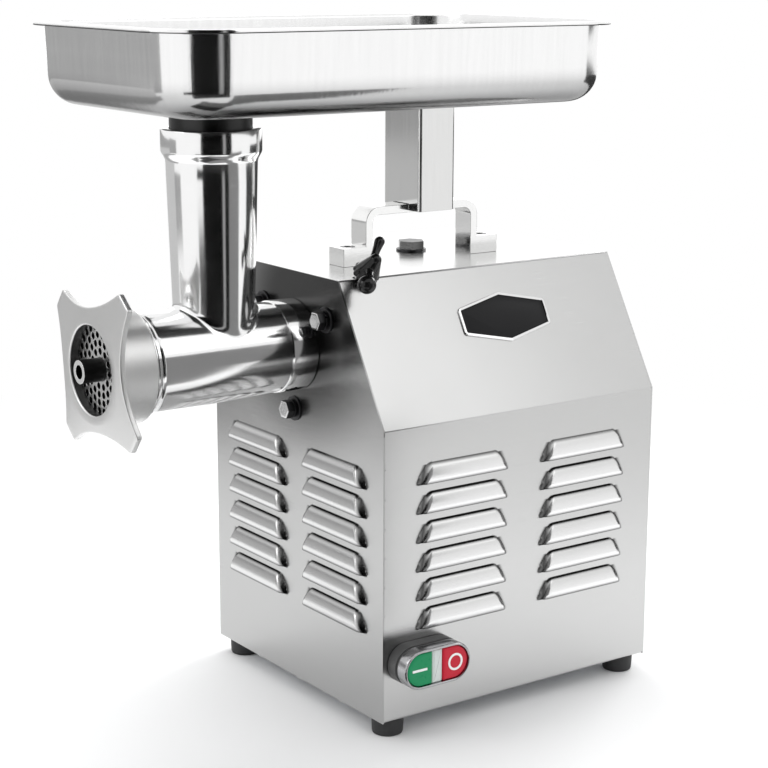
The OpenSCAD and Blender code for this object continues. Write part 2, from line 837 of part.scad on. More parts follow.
// Half the angle of a tooth at radius r, for a gear of given teeth
function tooth_half(teeth, r) =
    let (pitch_r = gear_module * teeth / 2,
         base_r = pitch_r * cos(20),
         at_pitch = 90 / teeth - gear_backlash / 4 / pitch_r * 180 / PI,
         a = r > base_r ? acos(base_r / r) : 0)
    at_pitch + involute(20) - involute(a);

// Outline of a spur gear with a tooth on +X
module gear_outline(teeth)
    let (pitch_r = gear_module * teeth / 2,
         root_r = pitch_r - 1.25 * gear_module,
         tip_r = pitch_r + 0.95 * gear_module,
         base_r = max(pitch_r * cos(20), root_r + 0.1),
         flank = [root_r, base_r, (base_r + pitch_r) / 2, pitch_r, (pitch_r + tip_r) / 2, tip_r])
    polygon([for (k = [0 : teeth - 1])
        each concat(
            [for (r = flank) r * [cos(k * 360 / teeth - tooth_half(teeth, r)),
                                  sin(k * 360 / teeth - tooth_half(teeth, r))]],
            [for (i = [len(flank) - 1 : -1 : 0])
                flank[i] * [cos(k * 360 / teeth + tooth_half(teeth, flank[i])),
                            sin(k * 360 / teeth + tooth_half(teeth, flank[i]))]])]);

// Cast case, open towards the motor
module gearbox_housing()
    on_worktop() color([0.62, 0.63, 0.64])
        difference() {
            union() {
                along_x(gearbox_x, axis_z)
                    cylinder(h = cover_x - gearbox_x, r = output_tip_r + casting_gap + gearbox_wall);
                along_x(gearbox_x, middle_z)
                    cylinder(h = cover_x - gearbox_x, r = middle_tip_r + casting_gap + gearbox_wall);
                along_x(gearbox_x, motor_z) cylinder(h = cover_x - gearbox_x, r = 36);
            }
            along_x(second_bearing_x + output_bearing_w + over, axis_z)
                cylinder(h = cover_x, r = output_tip_r + casting_gap);
            along_x(gearbox_x + 14, middle_z) difference() {
                cylinder(h = cover_x, r = middle_tip_r + casting_gap);
                translate([-(axis_z - middle_z), 0, -over])
                    cylinder(h = second_bearing_x + output_bearing_w + 2 * over - gearbox_x - 14,
                             r = output_bearing_r + gearbox_wall);
            }
            along_x(gearbox_x + 14, motor_z) cylinder(h = cover_x, r = 30);
            along_x(gearbox_x - over, axis_z)
                cylinder(h = 2 * over + 40, r = output_bearing_r + seat_gap);
            along_x(gearbox_x + 14 - small_bearing_w, middle_z)
                cylinder(h = 2 * small_bearing_w, r = small_bearing_r + seat_gap);
            gearbox_screw_places() translate([0, 0, -over])
                cylinder(h = 12 + over, r = 2.5 + seat_gap);
        }

// Screws around the seam between the case and its cover, drawn towards -X
module gearbox_screw_places()
    for (spot = [[axis_z, 60], [axis_z, -60], [middle_z, 105], [middle_z, -105],
                 [motor_z, 150], [motor_z, -150]])
        along_x(cover_x, spot[0]) rotate([0, 0, 180 + spot[1]])
            translate([seam_r(spot[0]), 0, 0]) mirror([0, 0, 1]) children();

function seam_r(z) =
    z == axis_z ? output_tip_r + casting_gap + gearbox_wall / 2
    : z == middle_z ? middle_tip_r + casting_gap + gearbox_wall / 2
    : 33;

module gearbox_cover()
    on_worktop() color([0.62, 0.63, 0.64])
        difference() {
            union() {
                along_x(cover_x, axis_z)
                    cylinder(h = cover_t, r = output_tip_r + casting_gap + gearbox_wall);
                along_x(cover_x, middle_z)
                    cylinder(h = cover_t, r = middle_tip_r + casting_gap + gearbox_wall);
                along_x(cover_x, motor_z) cylinder(h = cover_t, r = motor_r);
            }
            along_x(cover_x - over, middle_z)
                cylinder(h = small_bearing_w + over, r = small_bearing_r + seat_gap);
            along_x(cover_x + cover_t - motor_bearing_w, motor_z)
                cylinder(h = motor_bearing_w + over, r = motor_bearing_r + seat_gap);
            along_x(cover_x - over, motor_z) cylinder(h = cover_t, r = motor_shaft_r + 2);
            gearbox_screw_places() translate([0, 0, -cover_t - over])
                cylinder(h = cover_t + 2 * over, r = 2.5 + seat_gap);
        }

module gearbox_screws()
    on_worktop() color([0.45, 0.45, 0.46])
        gearbox_screw_places() {
            translate([0, 0, -cover_t]) cylinder(h = cover_t + 11, r = 2.5);
            translate([0, 0, -cover_t - 4]) cylinder(h = 4, r = 4.2);
        }

module output_bearings()
    on_worktop() color([0.75, 0.76, 0.78])
        for (x = [first_bearing_x, second_bearing_x])
            along_x(x, axis_z) tube(output_bearing_w, output_bearing_r, output_shaft_r + run_gap);

module middle_bearings()
    on_worktop() color([0.75, 0.76, 0.78])
        for (x = [gearbox_x + 14 - small_bearing_w, cover_x])
            along_x(x, middle_z) tube(small_bearing_w, small_bearing_r, middle_shaft_r + run_gap);

module motor_bearings()
    on_worktop() color([0.75, 0.76, 0.78])
        for (x = [motor_x - motor_bearing_w, motor_end - motor_bearing_w])
            along_x(x, motor_z) tube(motor_bearing_w, motor_bearing_r, motor_shaft_r + run_gap);

module oil_seal()
    on_worktop() color([0.12, 0.12, 0.12])
        along_x(first_bearing_x + output_bearing_w + seat_gap, axis_z)
            tube(5 - 2 * seat_gap, output_bearing_r, output_shaft_r + run_gap);

// Output shaft with the cross slot that drives the auger
module output_shaft()
    on_worktop() color([0.68, 0.69, 0.70])
        difference() {
            union() {
                along_x(shank_end + slide_gap, axis_z) cylinder(h = shaft_head_l, r = shaft_head_r);
                along_x(shank_end, axis_z)
                    cylinder(h = output_gear_x + output_face - shank_end, r = output_shaft_r);
            }
            translate([shank_end - over, axis_y - tang_w / 2 - slide_gap, axis_z - 2 * shaft_head_r])
                cube([tang_l + slide_gap + over, tang_w + 2 * slide_gap, 4 * shaft_head_r]);
        }

module output_gear()
    on_worktop() color([0.60, 0.58, 0.52])
        along_x(output_gear_x, axis_z)
            difference() {
                linear_extrude(output_face) gear_outline(output_teeth);
                translate([0, 0, -over])
                    cylinder(h = output_face + 2 * over, r = output_shaft_r + seat_gap / 2);
            }

// Layshaft with its pinion cut on it
module middle_shaft()
    on_worktop() color([0.68, 0.69, 0.70])
        union() {
            along_x(gearbox_x + 14 - small_bearing_w, middle_z)
                cylinder(h = cover_x + small_bearing_w - gearbox_x - 14 + small_bearing_w,
                         r = middle_shaft_r);
            along_x(output_gear_x - over, middle_z)
                rotate([0, 0, 180 / middle_pinion_teeth])
                    linear_extrude(output_face + 2 * over) gear_outline(middle_pinion_teeth);
        }

module middle_gear()
    on_worktop() color([0.60, 0.58, 0.52])
        along_x(middle_gear_x, middle_z)
            difference() {
                linear_extrude(middle_face) gear_outline(middle_teeth);
                translate([0, 0, -over])
                    cylinder(h = middle_face + 2 * over, r = middle_shaft_r + seat_gap / 2);
            }

// ---- Motor ---------------------------------------------------------------

// Motor shaft with its pinion cut on the end
module rotor_shaft()
    on_worktop() color([0.68, 0.69, 0.70])
        union() {
            along_x(middle_gear_x, motor_z)
                cylinder(h = motor_end + end_cover_t + fan_l + 2 - middle_gear_x, r = motor_shaft_r);
            along_x(middle_gear_x, motor_z)
                rotate([0, 0, 180 / motor_pinion_teeth])
                    linear_extrude(middle_face) gear_outline(motor_pinion_teeth);
        }

module rotor_core()
    on_worktop() color([0.42, 0.42, 0.44])
        along_x(stack_x, motor_z) tube(stack_l, rotor_r, motor_shaft_r + seat_gap / 2);

// Radial fan on the tail of the motor shaft
module motor_fan()
    on_worktop() color([0.20, 0.20, 0.22])
        along_x(motor_end + end_cover_t + 1.5, motor_z) {
            tube(fan_l, 15, motor_shaft_r + seat_gap / 2);
            tube(2, fan_r, 14);
            for (k = [0 : 9])
                rotate([0, 0, k * 36]) translate([14, -1, 0]) cube([fan_r - 15, 2, fan_l]);
        }

module motor_stator()
    on_worktop() color([0.45, 0.45, 0.47])
        along_x(stack_x, motor_z) tube(stack_l, stator_r, rotor_r + air_gap);

module motor_windings()
    on_worktop() color([0.65, 0.35, 0.18])
        for (x = [stack_x - 12, stack_x + stack_l])
            along_x(x, motor_z) tube(12, stator_r - 4, rotor_r + air_gap + 4);

module motor_shell()
    on_worktop() color([0.50, 0.51, 0.52])
        along_x(motor_x, motor_z) tube(motor_l, motor_r, motor_r - motor_shell_t);

module motor_end_cover()
    on_worktop() color([0.62, 0.63, 0.64])
        difference() {
            union() {
                along_x(motor_end, motor_z) cylinder(h = end_cover_t, r = motor_r);
                along_x(motor_end - motor_bearing_w - 2, motor_z)
                    cylinder(h = motor_bearing_w + 3, r = motor_bearing_r + 5);
            }
            along_x(motor_end - motor_bearing_w - 3, motor_z)
                cylinder(h = motor_bearing_w + 3, r = motor_bearing_r + seat_gap);
            along_x(motor_end - over, motor_z)
                cylinder(h = end_cover_t + 2 * over, r = motor_shaft_r + 2);
        }

// Cradle of two saddles on one foot
module motor_bracket()
    on_worktop() color([0.30, 0.31, 0.32])
        difference() {
            union() {
                translate([stack_x, axis_y - bracket_w / 2, sheet_t + base_t])
                    cube([stack_l, bracket_w, bracket_t]);
                for (x = [stack_x, stack_x + stack_l - saddle_t])
                    translate([x, axis_y - saddle_w / 2, sheet_t + base_t])
                        cube([saddle_t, saddle_w,
                              motor_z - 0.58 * motor_r - sheet_t - base_t]);
            }
            along_x(motor_x, motor_z) cylinder(h = motor_l, r = motor_r + seat_gap);
        }

module capacitor()
    on_worktop() color([0.85, 0.85, 0.83])
        translate([motor_x - 20, capacitor_y, capacitor_z])
            rotate([0, 90, 0]) cylinder(h = capacitor_l, r = capacitor_r);

module capacitor_clip()
    on_worktop() color([0.55, 0.56, 0.57])
        difference() {
            union() {
                translate([motor_x, capacitor_y, capacitor_z])
                    rotate([0, 90, 0]) cylinder(h = clip_w, r = capacitor_r + clip_t);
                translate([motor_x, capacitor_y - capacitor_r - 6.5, sheet_t + base_t])
                    cube([clip_w, 2 * capacitor_r + 13, clip_t]);
            }
            translate([motor_x - over, capacitor_y, capacitor_z])
                rotate([0, 90, 0]) cylinder(h = clip_w + 2 * over, r = capacitor_r + seat_gap);
        }

// ---- Cord gland ----------------------------------------------------------

module at_gland()
    translate([gland_x, body_w, gland_z]) rotate([-90, 0, 0]) children();

module cord_gland()
    on_worktop() color([0.07, 0.07, 0.07])
        at_gland()
            difference() {
                union() {
                    translate([0, 0, -sheet_t - 10]) cylinder(h = sheet_t + 10 + over, r = gland_r);
                    cylinder(h = 4, r = gland_flange_r);
                    translate([0, 0, 3]) cylinder(h = gland_out - 3, r1 = 10, r2 = 7.5);
                }
                translate([0, 0, -sheet_t - 11])
                    cylinder(h = sheet_t + 12 + gland_out, r = gland_bore_r);
            }

module gland_nut()
    on_worktop() color([0.07, 0.07, 0.07])
        at_gland()
            difference() {
                translate([0, 0, -sheet_t - 5]) hex_prism(24, 5);
                translate([0, 0, -sheet_t - 6]) cylinder(h = 7, r = gland_r + run_gap);
            }

// ---- Top of the body -----------------------------------------------------

function handle_screw_places() = [
    handle_x - handle_l / 2 - handle_foot_l / 2,
    handle_x + handle_l / 2 + handle_foot_l / 2];

function plug_shank_r() = plug_af * 0.32;

// Bar under the top sheet that takes the handle's load
module top_stiffener()
    on_worktop() color([0.40, 0.41, 0.42])
        difference() {
            translate([handle_screw_places()[0] - stiffener_margin,
                       axis_y - stiffener_front, stiffener_z])
                cube([handle_l + handle_foot_l + 2 * stiffener_margin,
                      stiffener_front + plug_back + 15.5, stiffener_t]);
            for (x = handle_screw_places())
                translate([x, axis_y, stiffener_z - over])
                    cylinder(h = stiffener_t + 2 * over, r = handle_screw_r + run_gap);
            translate([plug_x, plug_y, stiffener_z - over])
                cylinder(h = stiffener_t + 2 * over, r = plug_shank_r() + run_gap);
        }

// Cast loop with a foot block at each end
module carry_handle()
    on_worktop() color([0.78, 0.78, 0.77])
        difference() {
            translate([handle_x, axis_y + handle_w / 2, body_h]) rotate([90, 0, 0])
                linear_extrude(handle_w)
                    union() {
                        difference() {
                            translate([0, handle_h / 2 - handle_r / 2])
                                round_rect(handle_l, handle_h + handle_r, handle_r);
                            translate([0, handle_h / 2 - handle_r / 2 - handle_t / 2])
                                round_rect(handle_l - 2 * handle_t,
                                           handle_h + handle_r - handle_t, handle_r - handle_t);
                            translate([-handle_l, -2 * handle_r])
                                square([2 * handle_l, 2 * handle_r]);
                        }
                        for (side = [-1, 1])
                            translate([side * (handle_l + handle_foot_l - over) / 2,
                                       handle_foot_h / 2])
                                square([handle_foot_l + over, handle_foot_h], center = true);
                    }
            for (x = handle_screw_places())
                translate([x, axis_y, body_h - over]) {
                    cylinder(h = handle_foot_h + 2 * over, r = handle_screw_r + seat_gap);
                    translate([0, 0, handle_foot_h + over - handle_screw_r])
                        cylinder(h = handle_screw_r + over, r = 2 * handle_screw_r);
                }
        }

module handle_screws()
    on_worktop() color([0.50, 0.50, 0.50])
        for (x = handle_screw_places())
            translate([x, axis_y, 0]) {
                translate([0, 0, stiffener_z])
                    cylinder(h = body_h + handle_foot_h - stiffener_z - 1, r = handle_screw_r);
                translate([0, 0, body_h + handle_foot_h - handle_screw_r])
                    difference() {
                        cylinder(h = handle_screw_r, r = 2 * handle_screw_r - seat_gap);
                        translate([0, 0, handle_screw_r / 2])
                            hex_prism(handle_screw_r * 1.5, handle_screw_r);
                    }
            }

// Hex plug in the top sheet
module top_plug()
    on_worktop() color([0.60, 0.60, 0.60])
        translate([plug_x, plug_y, body_h]) {
            hex_prism(plug_af, plug_head_h);
            cylinder(h = washer_t, r = plug_flange_r);
            translate([0, 0, -sheet_t - stiffener_t - 2])
                cylinder(h = sheet_t + stiffener_t + 3, r = plug_shank_r());
        }

// ---- Grinding head -------------------------------------------------------

// Outline of the casting's body: radius against distance in front of the body
module head_outline()
    polygon([
        [0, -neck_l], [neck_r, -neck_l], [neck_r, collar_back], [collar_r, collar_back],
        [collar_r, collar_l], [barrel_rear_r, collar_l + 2],
        [barrel_front_r, thread_end - 6], [barrel_front_r, thread_end - 4],
        [barrel_front_r - 1.2, thread_end - 4], [barrel_front_r - 1.2, thread_end - 2],
        [thread_r, thread_end - 1], [thread_r, thread_front], [0, thread_front]]);

// Turns a child drawn as radius and forward distance about the auger's axis
module about_auger()
    translate([0, axis_y, axis_z]) rotate([0, -90, 0]) rotate_extrude() children();

module head_casting()
    on_worktop() color([0.82, 0.82, 0.82])
        difference() {
            union() {
                about_auger() head_outline();
                translate([-throat_x, axis_y, axis_z])
                    cylinder(h = throat_top_z - throat_collar_h - 7 - axis_z,
                             r1 = throat_low_r - 1, r2 = throat_top_r);
                translate([-throat_x, axis_y, throat_top_z - throat_collar_h - 7])
                    cylinder(h = 7, r1 = throat_top_r, r2 = throat_collar_r);
                translate([-throat_x, axis_y, throat_top_z - throat_collar_h])
                    cylinder(h = throat_collar_h, r = throat_collar_r);
            }
            about_auger() polygon([
                [0, flight_back - 2], [bore_r, flight_back - 2],
                [bore_r, thread_front + over], [0, thread_front + over]]);
            about_auger() polygon([
                [0, plate_front - plate_seat_l], [plate_r + seat_gap, plate_front - plate_seat_l],
                [plate_r + seat_gap, plate_front + over], [0, plate_front + over]]);
            about_auger() polygon([
                [0, -neck_l - over], [bush_r + seat_gap, -neck_l - over],
                [bush_r + seat_gap, flight_back - 1], [0, flight_back - 1]]);
            translate([-throat_x, axis_y, axis_z])
                cylinder(h = throat_top_z - axis_z + over, r = throat_bore_r);
            translate([-throat_x, axis_y, throat_top_z - spout_socket_d])
                cylinder(h = spout_socket_d + over, r = spout_r + slide_gap);
            plate_pin_place() cylinder(h = plate_seat_l, r = plate_pin_r + seat_gap);
        }

// Bush that the auger's shank turns in
module neck_bush()
    on_worktop() color([0.72, 0.55, 0.28])
        along_x(-flight_back + 4, axis_z)
            tube(neck_l + flight_back - 5, bush_r, shank_r + run_gap);

// Axis of the locating pin, at the bottom of the plate's rim
module plate_pin_place()
    translate([-plate_front, axis_y, axis_z - plate_r]) rotate([0, 90, 0]) children();

module plate_pin()
    on_worktop() color([0.60, 0.60, 0.60])
        plate_pin_place() translate([0, 0, over]) cylinder(h = plate_seat_l - 3, r = plate_pin_r);

// Plate with rings of holes
module perforated_plate()
    on_worktop() color([0.66, 0.67, 0.68])
        difference() {
            along_x(-plate_front, axis_z)
                difference() {
                    cylinder(h = plate_t, r = plate_r);
                    translate([0, 0, -over]) cylinder(h = plate_t + 2 * over, r = stud_hole_r);
                    for (ring = [0 : hole_rings - 1])
                        plate_hole_ring(hole_first_r + ring * hole_ring_step)
                            cylinder(h = plate_t + 2 * over, r = hole_r, $fn = 24);
                }
            plate_pin_place() translate([0, 0, -over])
                cylinder(h = plate_t + 2 * over, r = plate_pin_r + seat_gap);
        }

module plate_hole_ring(radius)
    let (count = floor(2 * PI * radius / hole_spacing))
        for (k = [0 : count - 1])
            rotate([0, 0, (k + 0.5) * 360 / count]) translate([radius, 0, -over]) children();

// ---- Auger, stud and knife -----------------------------------------------

module auger()
    on_worktop() color([0.70, 0.70, 0.70])
        difference() {
            union() {
                along_x(-flight_back + 0.5, axis_z)
                    cylinder(h = flight_back + shank_end - 0.5, r = shank_r);
                along_x(-flight_front, axis_z)
                    cylinder(h = flight_front - flight_back + over, r = auger_core_r);
                along_x(-flight_front, axis_z)
                    linear_extrude(height = flight_front - flight_back,
                                   twist = -360 * (flight_front - flight_back) / auger_pitch,
                                   slices = 54, segments = 0, $fn = 24)
                        flight_outline();
                translate([shank_end - over, axis_y - tang_w / 2, axis_z - tang_half_h])
                    cube([tang_l + over, tang_w, 2 * tang_half_h]);
            }
            along_x(-flight_front - over, axis_z) cylinder(h = 22 + over, r = 5 + run_gap);
        }

// One vane of the flight, cut square to the auger's axis
module flight_outline()
    polygon(concat(
        [for (a = [0 : flight_angle / 4 : flight_angle + 0.01])
            flight_r * [cos(a), sin(a)]],
        [for (a = [flight_angle + 10 : -(flight_angle + 20) / 4 : -10.01])
            (auger_core_r - 2) * [cos(a), sin(a)]]));

// Stud screwed into the auger: square for the knife, round through the plate
module auger_stud()
    on_worktop() color([0.75, 0.75, 0.75])
        difference() {
            union() {
                along_x(-stud_front, axis_z)
                    cylinder(h = stud_front - plate_back + slide_gap / 2, r = stud_r);
                along_x(-knife_front - slide_gap / 2, axis_z)
                    translate([0, 0, (knife_t + slide_gap / 2) / 2])
                        intersection() {
                            cube([knife_square, knife_square, knife_t + slide_gap / 2],
                                 center = true);
                            cylinder(h = 2 * knife_t, r = stud_r, center = true);
                        }
                along_x(-flight_front - over - 1, axis_z) cylinder(h = 20, r = 5);
            }
            along_x(-stud_front - over, axis_z) cylinder(h = 9, r = stud_r * 0.6);
        }

// Outline of the knife: a boss with four swept arms and a square hole
module knife_outline()
    difference() {
        union() {
            circle(r = stud_r + 5);
            for (k = [0 : 3])
                rotate(k * 90 + 20)
                    polygon([[stud_r + 2, -5], [plate_r - 3, -6],
                             [plate_r - 4, 1], [stud_r + 2, 4]]);
        }
        intersection() {
            square(knife_square + 2 * seat_gap, center = true);
            circle(r = stud_r + seat_gap);
        }
    }

// Four-armed knife that wipes the back of the plate
module knife()
    on_worktop() color([0.72, 0.72, 0.73])
        along_x(-knife_front, axis_z)
            linear_extrude(knife_t) knife_outline();

// ---- Ring nut ------------------------------------------------------------

module ear_outline()
    rotate([0, 0, nut_turn])
        difference() {
            union() {
                square([2 * nut_ear_r, 2 * nut_ear_half], center = true);
                square([2 * nut_ear_half, 2 * nut_ear_r], center = true);
                circle(r = (nut_ear_r + nut_ear_half) / sqrt(2));
            }
            for (k = [0 : 3])
                rotate([0, 0, 45 + k * 90]) translate([ear_cut_d, 0])
                    circle(r = ear_cut_r, $fn = 120);
        }

// Section of the ears, which lean back from a flat ring round the opening
module ear_section()
    polygon([
        [0, 0], [nut_open_r + 6, 0], [nut_ear_r + 2, nut_sweep],
        [nut_ear_r + 2, nut_sweep + nut_ear_t], [nut_skirt_r - 1, nut_ear_t + 1],
        [0, nut_ear_t + 1]]);

module ring_nut()
    on_worktop() color([0.74, 0.74, 0.73])
        along_x(-nut_front, axis_z)
            difference() {
                union() {
                    intersection() {
                        linear_extrude(nut_sweep + nut_ear_t) ear_outline();
                        rotate_extrude() ear_section();
                    }
                    cylinder(h = nut_face_t + nut_skirt_l, r = nut_skirt_r);
                }
                translate([0, 0, nut_face_t])
                    cylinder(h = nut_skirt_l + over, r = nut_thread_r);
                translate([0, 0, -over]) cylinder(h = nut_face_t + 2 * over, r = nut_open_r);
                translate([0, 0, -over / 10])
                    cylinder(h = 2.1, r1 = nut_open_r + 2.1, r2 = nut_open_r);
            }

// ---- Locking knob --------------------------------------------------------

module locking_screw()
    on_worktop() color([0.65, 0.65, 0.66])
        lock_axis() translate([0, 0, neck_r + slide_gap])
            cylinder(h = knob_reach + 4 - neck_r - slide_gap, r = lock_screw_r);

// Winged grip on the locking screw
module locking_knob()
    on_worktop() color([0.04, 0.04, 0.04])
        lock_axis() translate([0, 0, knob_reach])
            difference() {
                union() {
                    rotate_extrude()
                        polygon([[0, -11], [knob_base_r - 3, -11], [knob_base_r, -8],
                                 [knob_base_r - 1, -5], [knob_base_r - 4, 6],
                                 [knob_base_r - 6, 10], [0, 11]]);
                    rotate([0, 0, wing_turn]) for (side = [-1, 1])
                        translate([0, wing_t / 2, 0]) rotate([90, 0, 0])
                            linear_extrude(wing_t)
                                union() {
                                    translate([side * (wing_l - wing_end_r), wing_end_up])
                                        circle(r = wing_end_r);
                                    translate([side * (wing_l - wing_end_r) / 2, 1])
                                        square([wing_l - wing_end_r, 13], center = true);
                                }
                }
                translate([0, 0, -12]) cylinder(h = 16 + seat_gap, r = lock_screw_r + seat_gap / 2);
            }

// ---- Feed pan ------------------------------------------------------------

// Section of the pan's wall: distance out from the bend's inner edge against height
module pan_section()
    let (wall = pan_bend_r + pan_draft,
         inner_r = pan_bend_r - pan_t)
    polygon(concat(
        [for (a = [-90 : 15 : 0]) [pan_bend_r * cos(a), pan_bend_r + pan_bend_r * sin(a)]],
        [[wall, pan_h - pan_t], [wall + pan_rim - pan_t, pan_h - pan_t],
         [wall + pan_rim - pan_t, pan_h - pan_lip], [wall + pan_rim, pan_h - pan_lip],
         [wall + pan_rim, pan_h], [wall - pan_t, pan_h]],
        [for (a = [0 : -15 : -90]) [inner_r * cos(a), pan_bend_r + inner_r * sin(a)]]));

// Wall swept round the pan, and the floor inside it
module pan_body()
    let (reach = pan_bend_r + pan_draft + pan_rim,
         half_l = pan_l / 2 - reach,
         half_w = pan_w / 2 - reach,
         r = pan_corner_r - reach)
    union() {
        for (sx = [-1, 1], sy = [-1, 1])
            translate([sx * (half_l - r), sy * (half_w - r), 0])
                rotate([0, 0, sx > 0 ? (sy > 0 ? 0 : 270) : (sy > 0 ? 90 : 180)])
                    rotate_extrude(angle = 90) translate([r, 0]) pan_section();
        for (side = [0, 180])
            rotate([0, 0, side]) {
                translate([half_l, half_w - r, 0]) rotate([90, 0, 0])
                    linear_extrude(2 * (half_w - r)) pan_section();
                translate([0, half_w, 0])
                    across(r - half_l, 2 * (half_l - r)) pan_section();
            }
        linear_extrude(pan_t) round_rect(2 * half_l, 2 * half_w, r);
    }

module feed_pan()
    on_worktop() color([0.82, 0.82, 0.82])
        difference() {
            union() {
                translate([pan_x, axis_y, pan_floor_z]) pan_body();
                translate([-throat_x, axis_y, throat_top_z - spout_socket_d + slide_gap])
                    cylinder(h = spout_socket_d + pan_gap, r = spout_r);
            }
            translate([-throat_x, axis_y, throat_top_z - spout_socket_d])
                cylinder(h = spout_socket_d + pan_gap + 5, r = spout_r - pan_t);
        }

// Square post welded under the pan; its foot straddles the carry handle
module support_post()
    on_worktop() color([0.80, 0.80, 0.79])
        translate([post_x, axis_y, 0])
            difference() {
                translate([0, 0, body_h + handle_h - post_hook])
                    linear_extrude(pan_floor_z - body_h - handle_h + post_hook)
                        difference() {
                            square([post_l, post_w], center = true);
                            square([post_l - 2 * post_t, post_w - 2 * post_t], center = true);
                        }
                translate([-post_l, -handle_w / 2 - slide_gap, body_h + handle_h - post_hook - over])
                    cube([2 * post_l, handle_w + 2 * slide_gap, post_hook + over + slide_gap]);
            }

// ---- What is drawn -------------------------------------------------------

main_cover();
left_panel();
right_panel();
base_plate();
rubber_feet();
foot_screws();
base_screws();
badge_plate();
switch_housing();
switch_bezel();
pilot_lens();
contact_block();
start_button();
stop_button();
hub_bolts();
hub_washers();
spring_washers();
head_hub();
gearbox_housing();
gearbox_cover();
gearbox_screws();
output_bearings();
middle_bearings();
motor_bearings();
oil_seal();
output_shaft();
output_gear();
middle_shaft();
middle_gear();
rotor_shaft();
rotor_core();
motor_fan();
motor_stator();
motor_windings();
motor_shell();
motor_end_cover();
motor_bracket();
capacitor();
capacitor_clip();
cord_gland();
gland_nut();
top_stiffener();
carry_handle();
handle_screws();
top_plug();
head_casting();
neck_bush();
perforated_plate();
plate_pin();
auger();
auger_stud();
knife();
ring_nut();
locking_knob();
locking_screw();
feed_pan();
support_post();
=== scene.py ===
import json
import math

import bmesh
import bpy
from mathutils import Matrix, Vector


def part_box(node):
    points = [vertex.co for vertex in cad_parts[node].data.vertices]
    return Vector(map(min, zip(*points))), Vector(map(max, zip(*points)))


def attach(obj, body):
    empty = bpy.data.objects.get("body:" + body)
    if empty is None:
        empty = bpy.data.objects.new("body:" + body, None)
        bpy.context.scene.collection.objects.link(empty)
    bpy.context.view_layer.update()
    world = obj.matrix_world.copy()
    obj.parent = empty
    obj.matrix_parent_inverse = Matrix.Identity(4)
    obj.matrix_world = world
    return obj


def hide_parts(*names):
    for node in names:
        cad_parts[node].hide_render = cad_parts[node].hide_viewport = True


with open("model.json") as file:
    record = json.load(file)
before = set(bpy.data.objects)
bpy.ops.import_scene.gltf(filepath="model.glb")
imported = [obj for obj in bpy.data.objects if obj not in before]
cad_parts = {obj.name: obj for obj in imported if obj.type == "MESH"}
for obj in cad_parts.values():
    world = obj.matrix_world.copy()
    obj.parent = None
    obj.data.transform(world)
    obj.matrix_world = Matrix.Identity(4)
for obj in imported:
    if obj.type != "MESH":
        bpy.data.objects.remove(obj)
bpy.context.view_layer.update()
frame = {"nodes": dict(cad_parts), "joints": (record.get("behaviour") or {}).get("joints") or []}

# ---- Studio ----------------------------------------------------------------
# A white table under three soft lamps. Round it stand boards and cards that show
# only in the steel: black in front, grey behind, bright over the slope and top.

scene = bpy.context.scene
scene.view_settings.view_transform = "Standard"


def stand(name, data):
    """Puts a new object with this data into the scene."""
    made = bpy.data.objects.new(name, data)
    scene.collection.objects.link(made)
    return made


eye = bpy.data.cameras.new("eye")
eye.lens = 88.96
eye.sensor_width = 36.0
eye.clip_end = 50.0
eye_place = (-0.80089, -1.18307, 0.56651)
turn, rise, tilt = math.radians(-35.305), math.radians(12.679), math.radians(0.2085)
back = Vector((math.sin(turn) * math.cos(rise), -math.cos(turn) * math.cos(rise),
               math.sin(rise)))
right = Vector((0, 0, 1)).cross(back).normalized()
up = back.cross(right)
level_right = math.cos(tilt) * right + math.sin(tilt) * up
level_up = -math.sin(tilt) * right + math.cos(tilt) * up
eye_at = stand("eye", eye)
eye_at.matrix_world = Matrix.Translation(eye_place) @ Matrix(
    (level_right, level_up, back)).transposed().to_4x4()
scene.camera = eye_at


def wire(tree, made, inputs):
    """Feeds a node's inputs from nodes, from numbers of its tree or from plain values."""
    for key, value in inputs.items():
        value = getattr(value, "socket", value)
        if isinstance(value, bpy.types.Node):
            value = next(way_out for way_out in value.outputs if way_out.enabled)
        if isinstance(value, bpy.types.NodeSocket):
            tree.links.new(value, made.inputs[key])
        else:
            made.inputs[key].default_value = value


def add(tree, kind, inputs=None, **settings):
    """Adds a node to a tree, sets its options and then feeds its inputs."""
    made = tree.nodes.new(kind)
    for key, value in settings.items():
        setattr(made, key, value)
    wire(tree, made, inputs or {})
    return made


def whereabouts(tree):
    """The socket that gives a point's place in its object."""
    return tree.nodes.new("ShaderNodeTexCoord").outputs["Object"]


def blank_tree(owner):
    """Switches an owner's nodes on and empties its tree."""
    owner.use_nodes = True
    owner.node_tree.nodes.clear()
    return owner.node_tree


def reflected(name, verts, faces, grey):
    """A patch that glows in one even grey and is seen only in reflections."""
    mesh = bpy.data.meshes.new(name)
    mesh.from_pydata(verts, [], faces)
    made = stand(name, mesh)
    paint = bpy.data.materials.new(name)
    tree = blank_tree(paint)
    glow = add(tree, "ShaderNodeEmission", {"Color": (grey, grey, grey, 1)})
    add(tree, "ShaderNodeOutputMaterial", {"Surface": glow})
    mesh.materials.append(paint)
    for rays in ("camera", "diffuse", "transmission", "shadow"):
        setattr(made, "visible_" + rays, False)


def board(name, angles, low, high, grey, near=1.25, far=1.25):
    """A curved board round the object, from a low edge to a high one."""
    steps = 48
    first, last = (math.radians(angle) for angle in angles)
    verts = []
    for k in range(steps + 1):
        angle = first + (last - first) * k / steps
        verts += [(reach * math.cos(angle), reach * math.sin(angle), z)
                  for reach, z in ((near, low), (far, high))]
    reflected(name, verts, [(2 * k, 2 * k + 2, 2 * k + 3, 2 * k + 1) for k in range(steps)], grey)


def card(name, corners, grey):
    """A flat patch with these corners."""
    reflected(name, corners, [tuple(range(len(corners)))], grey)


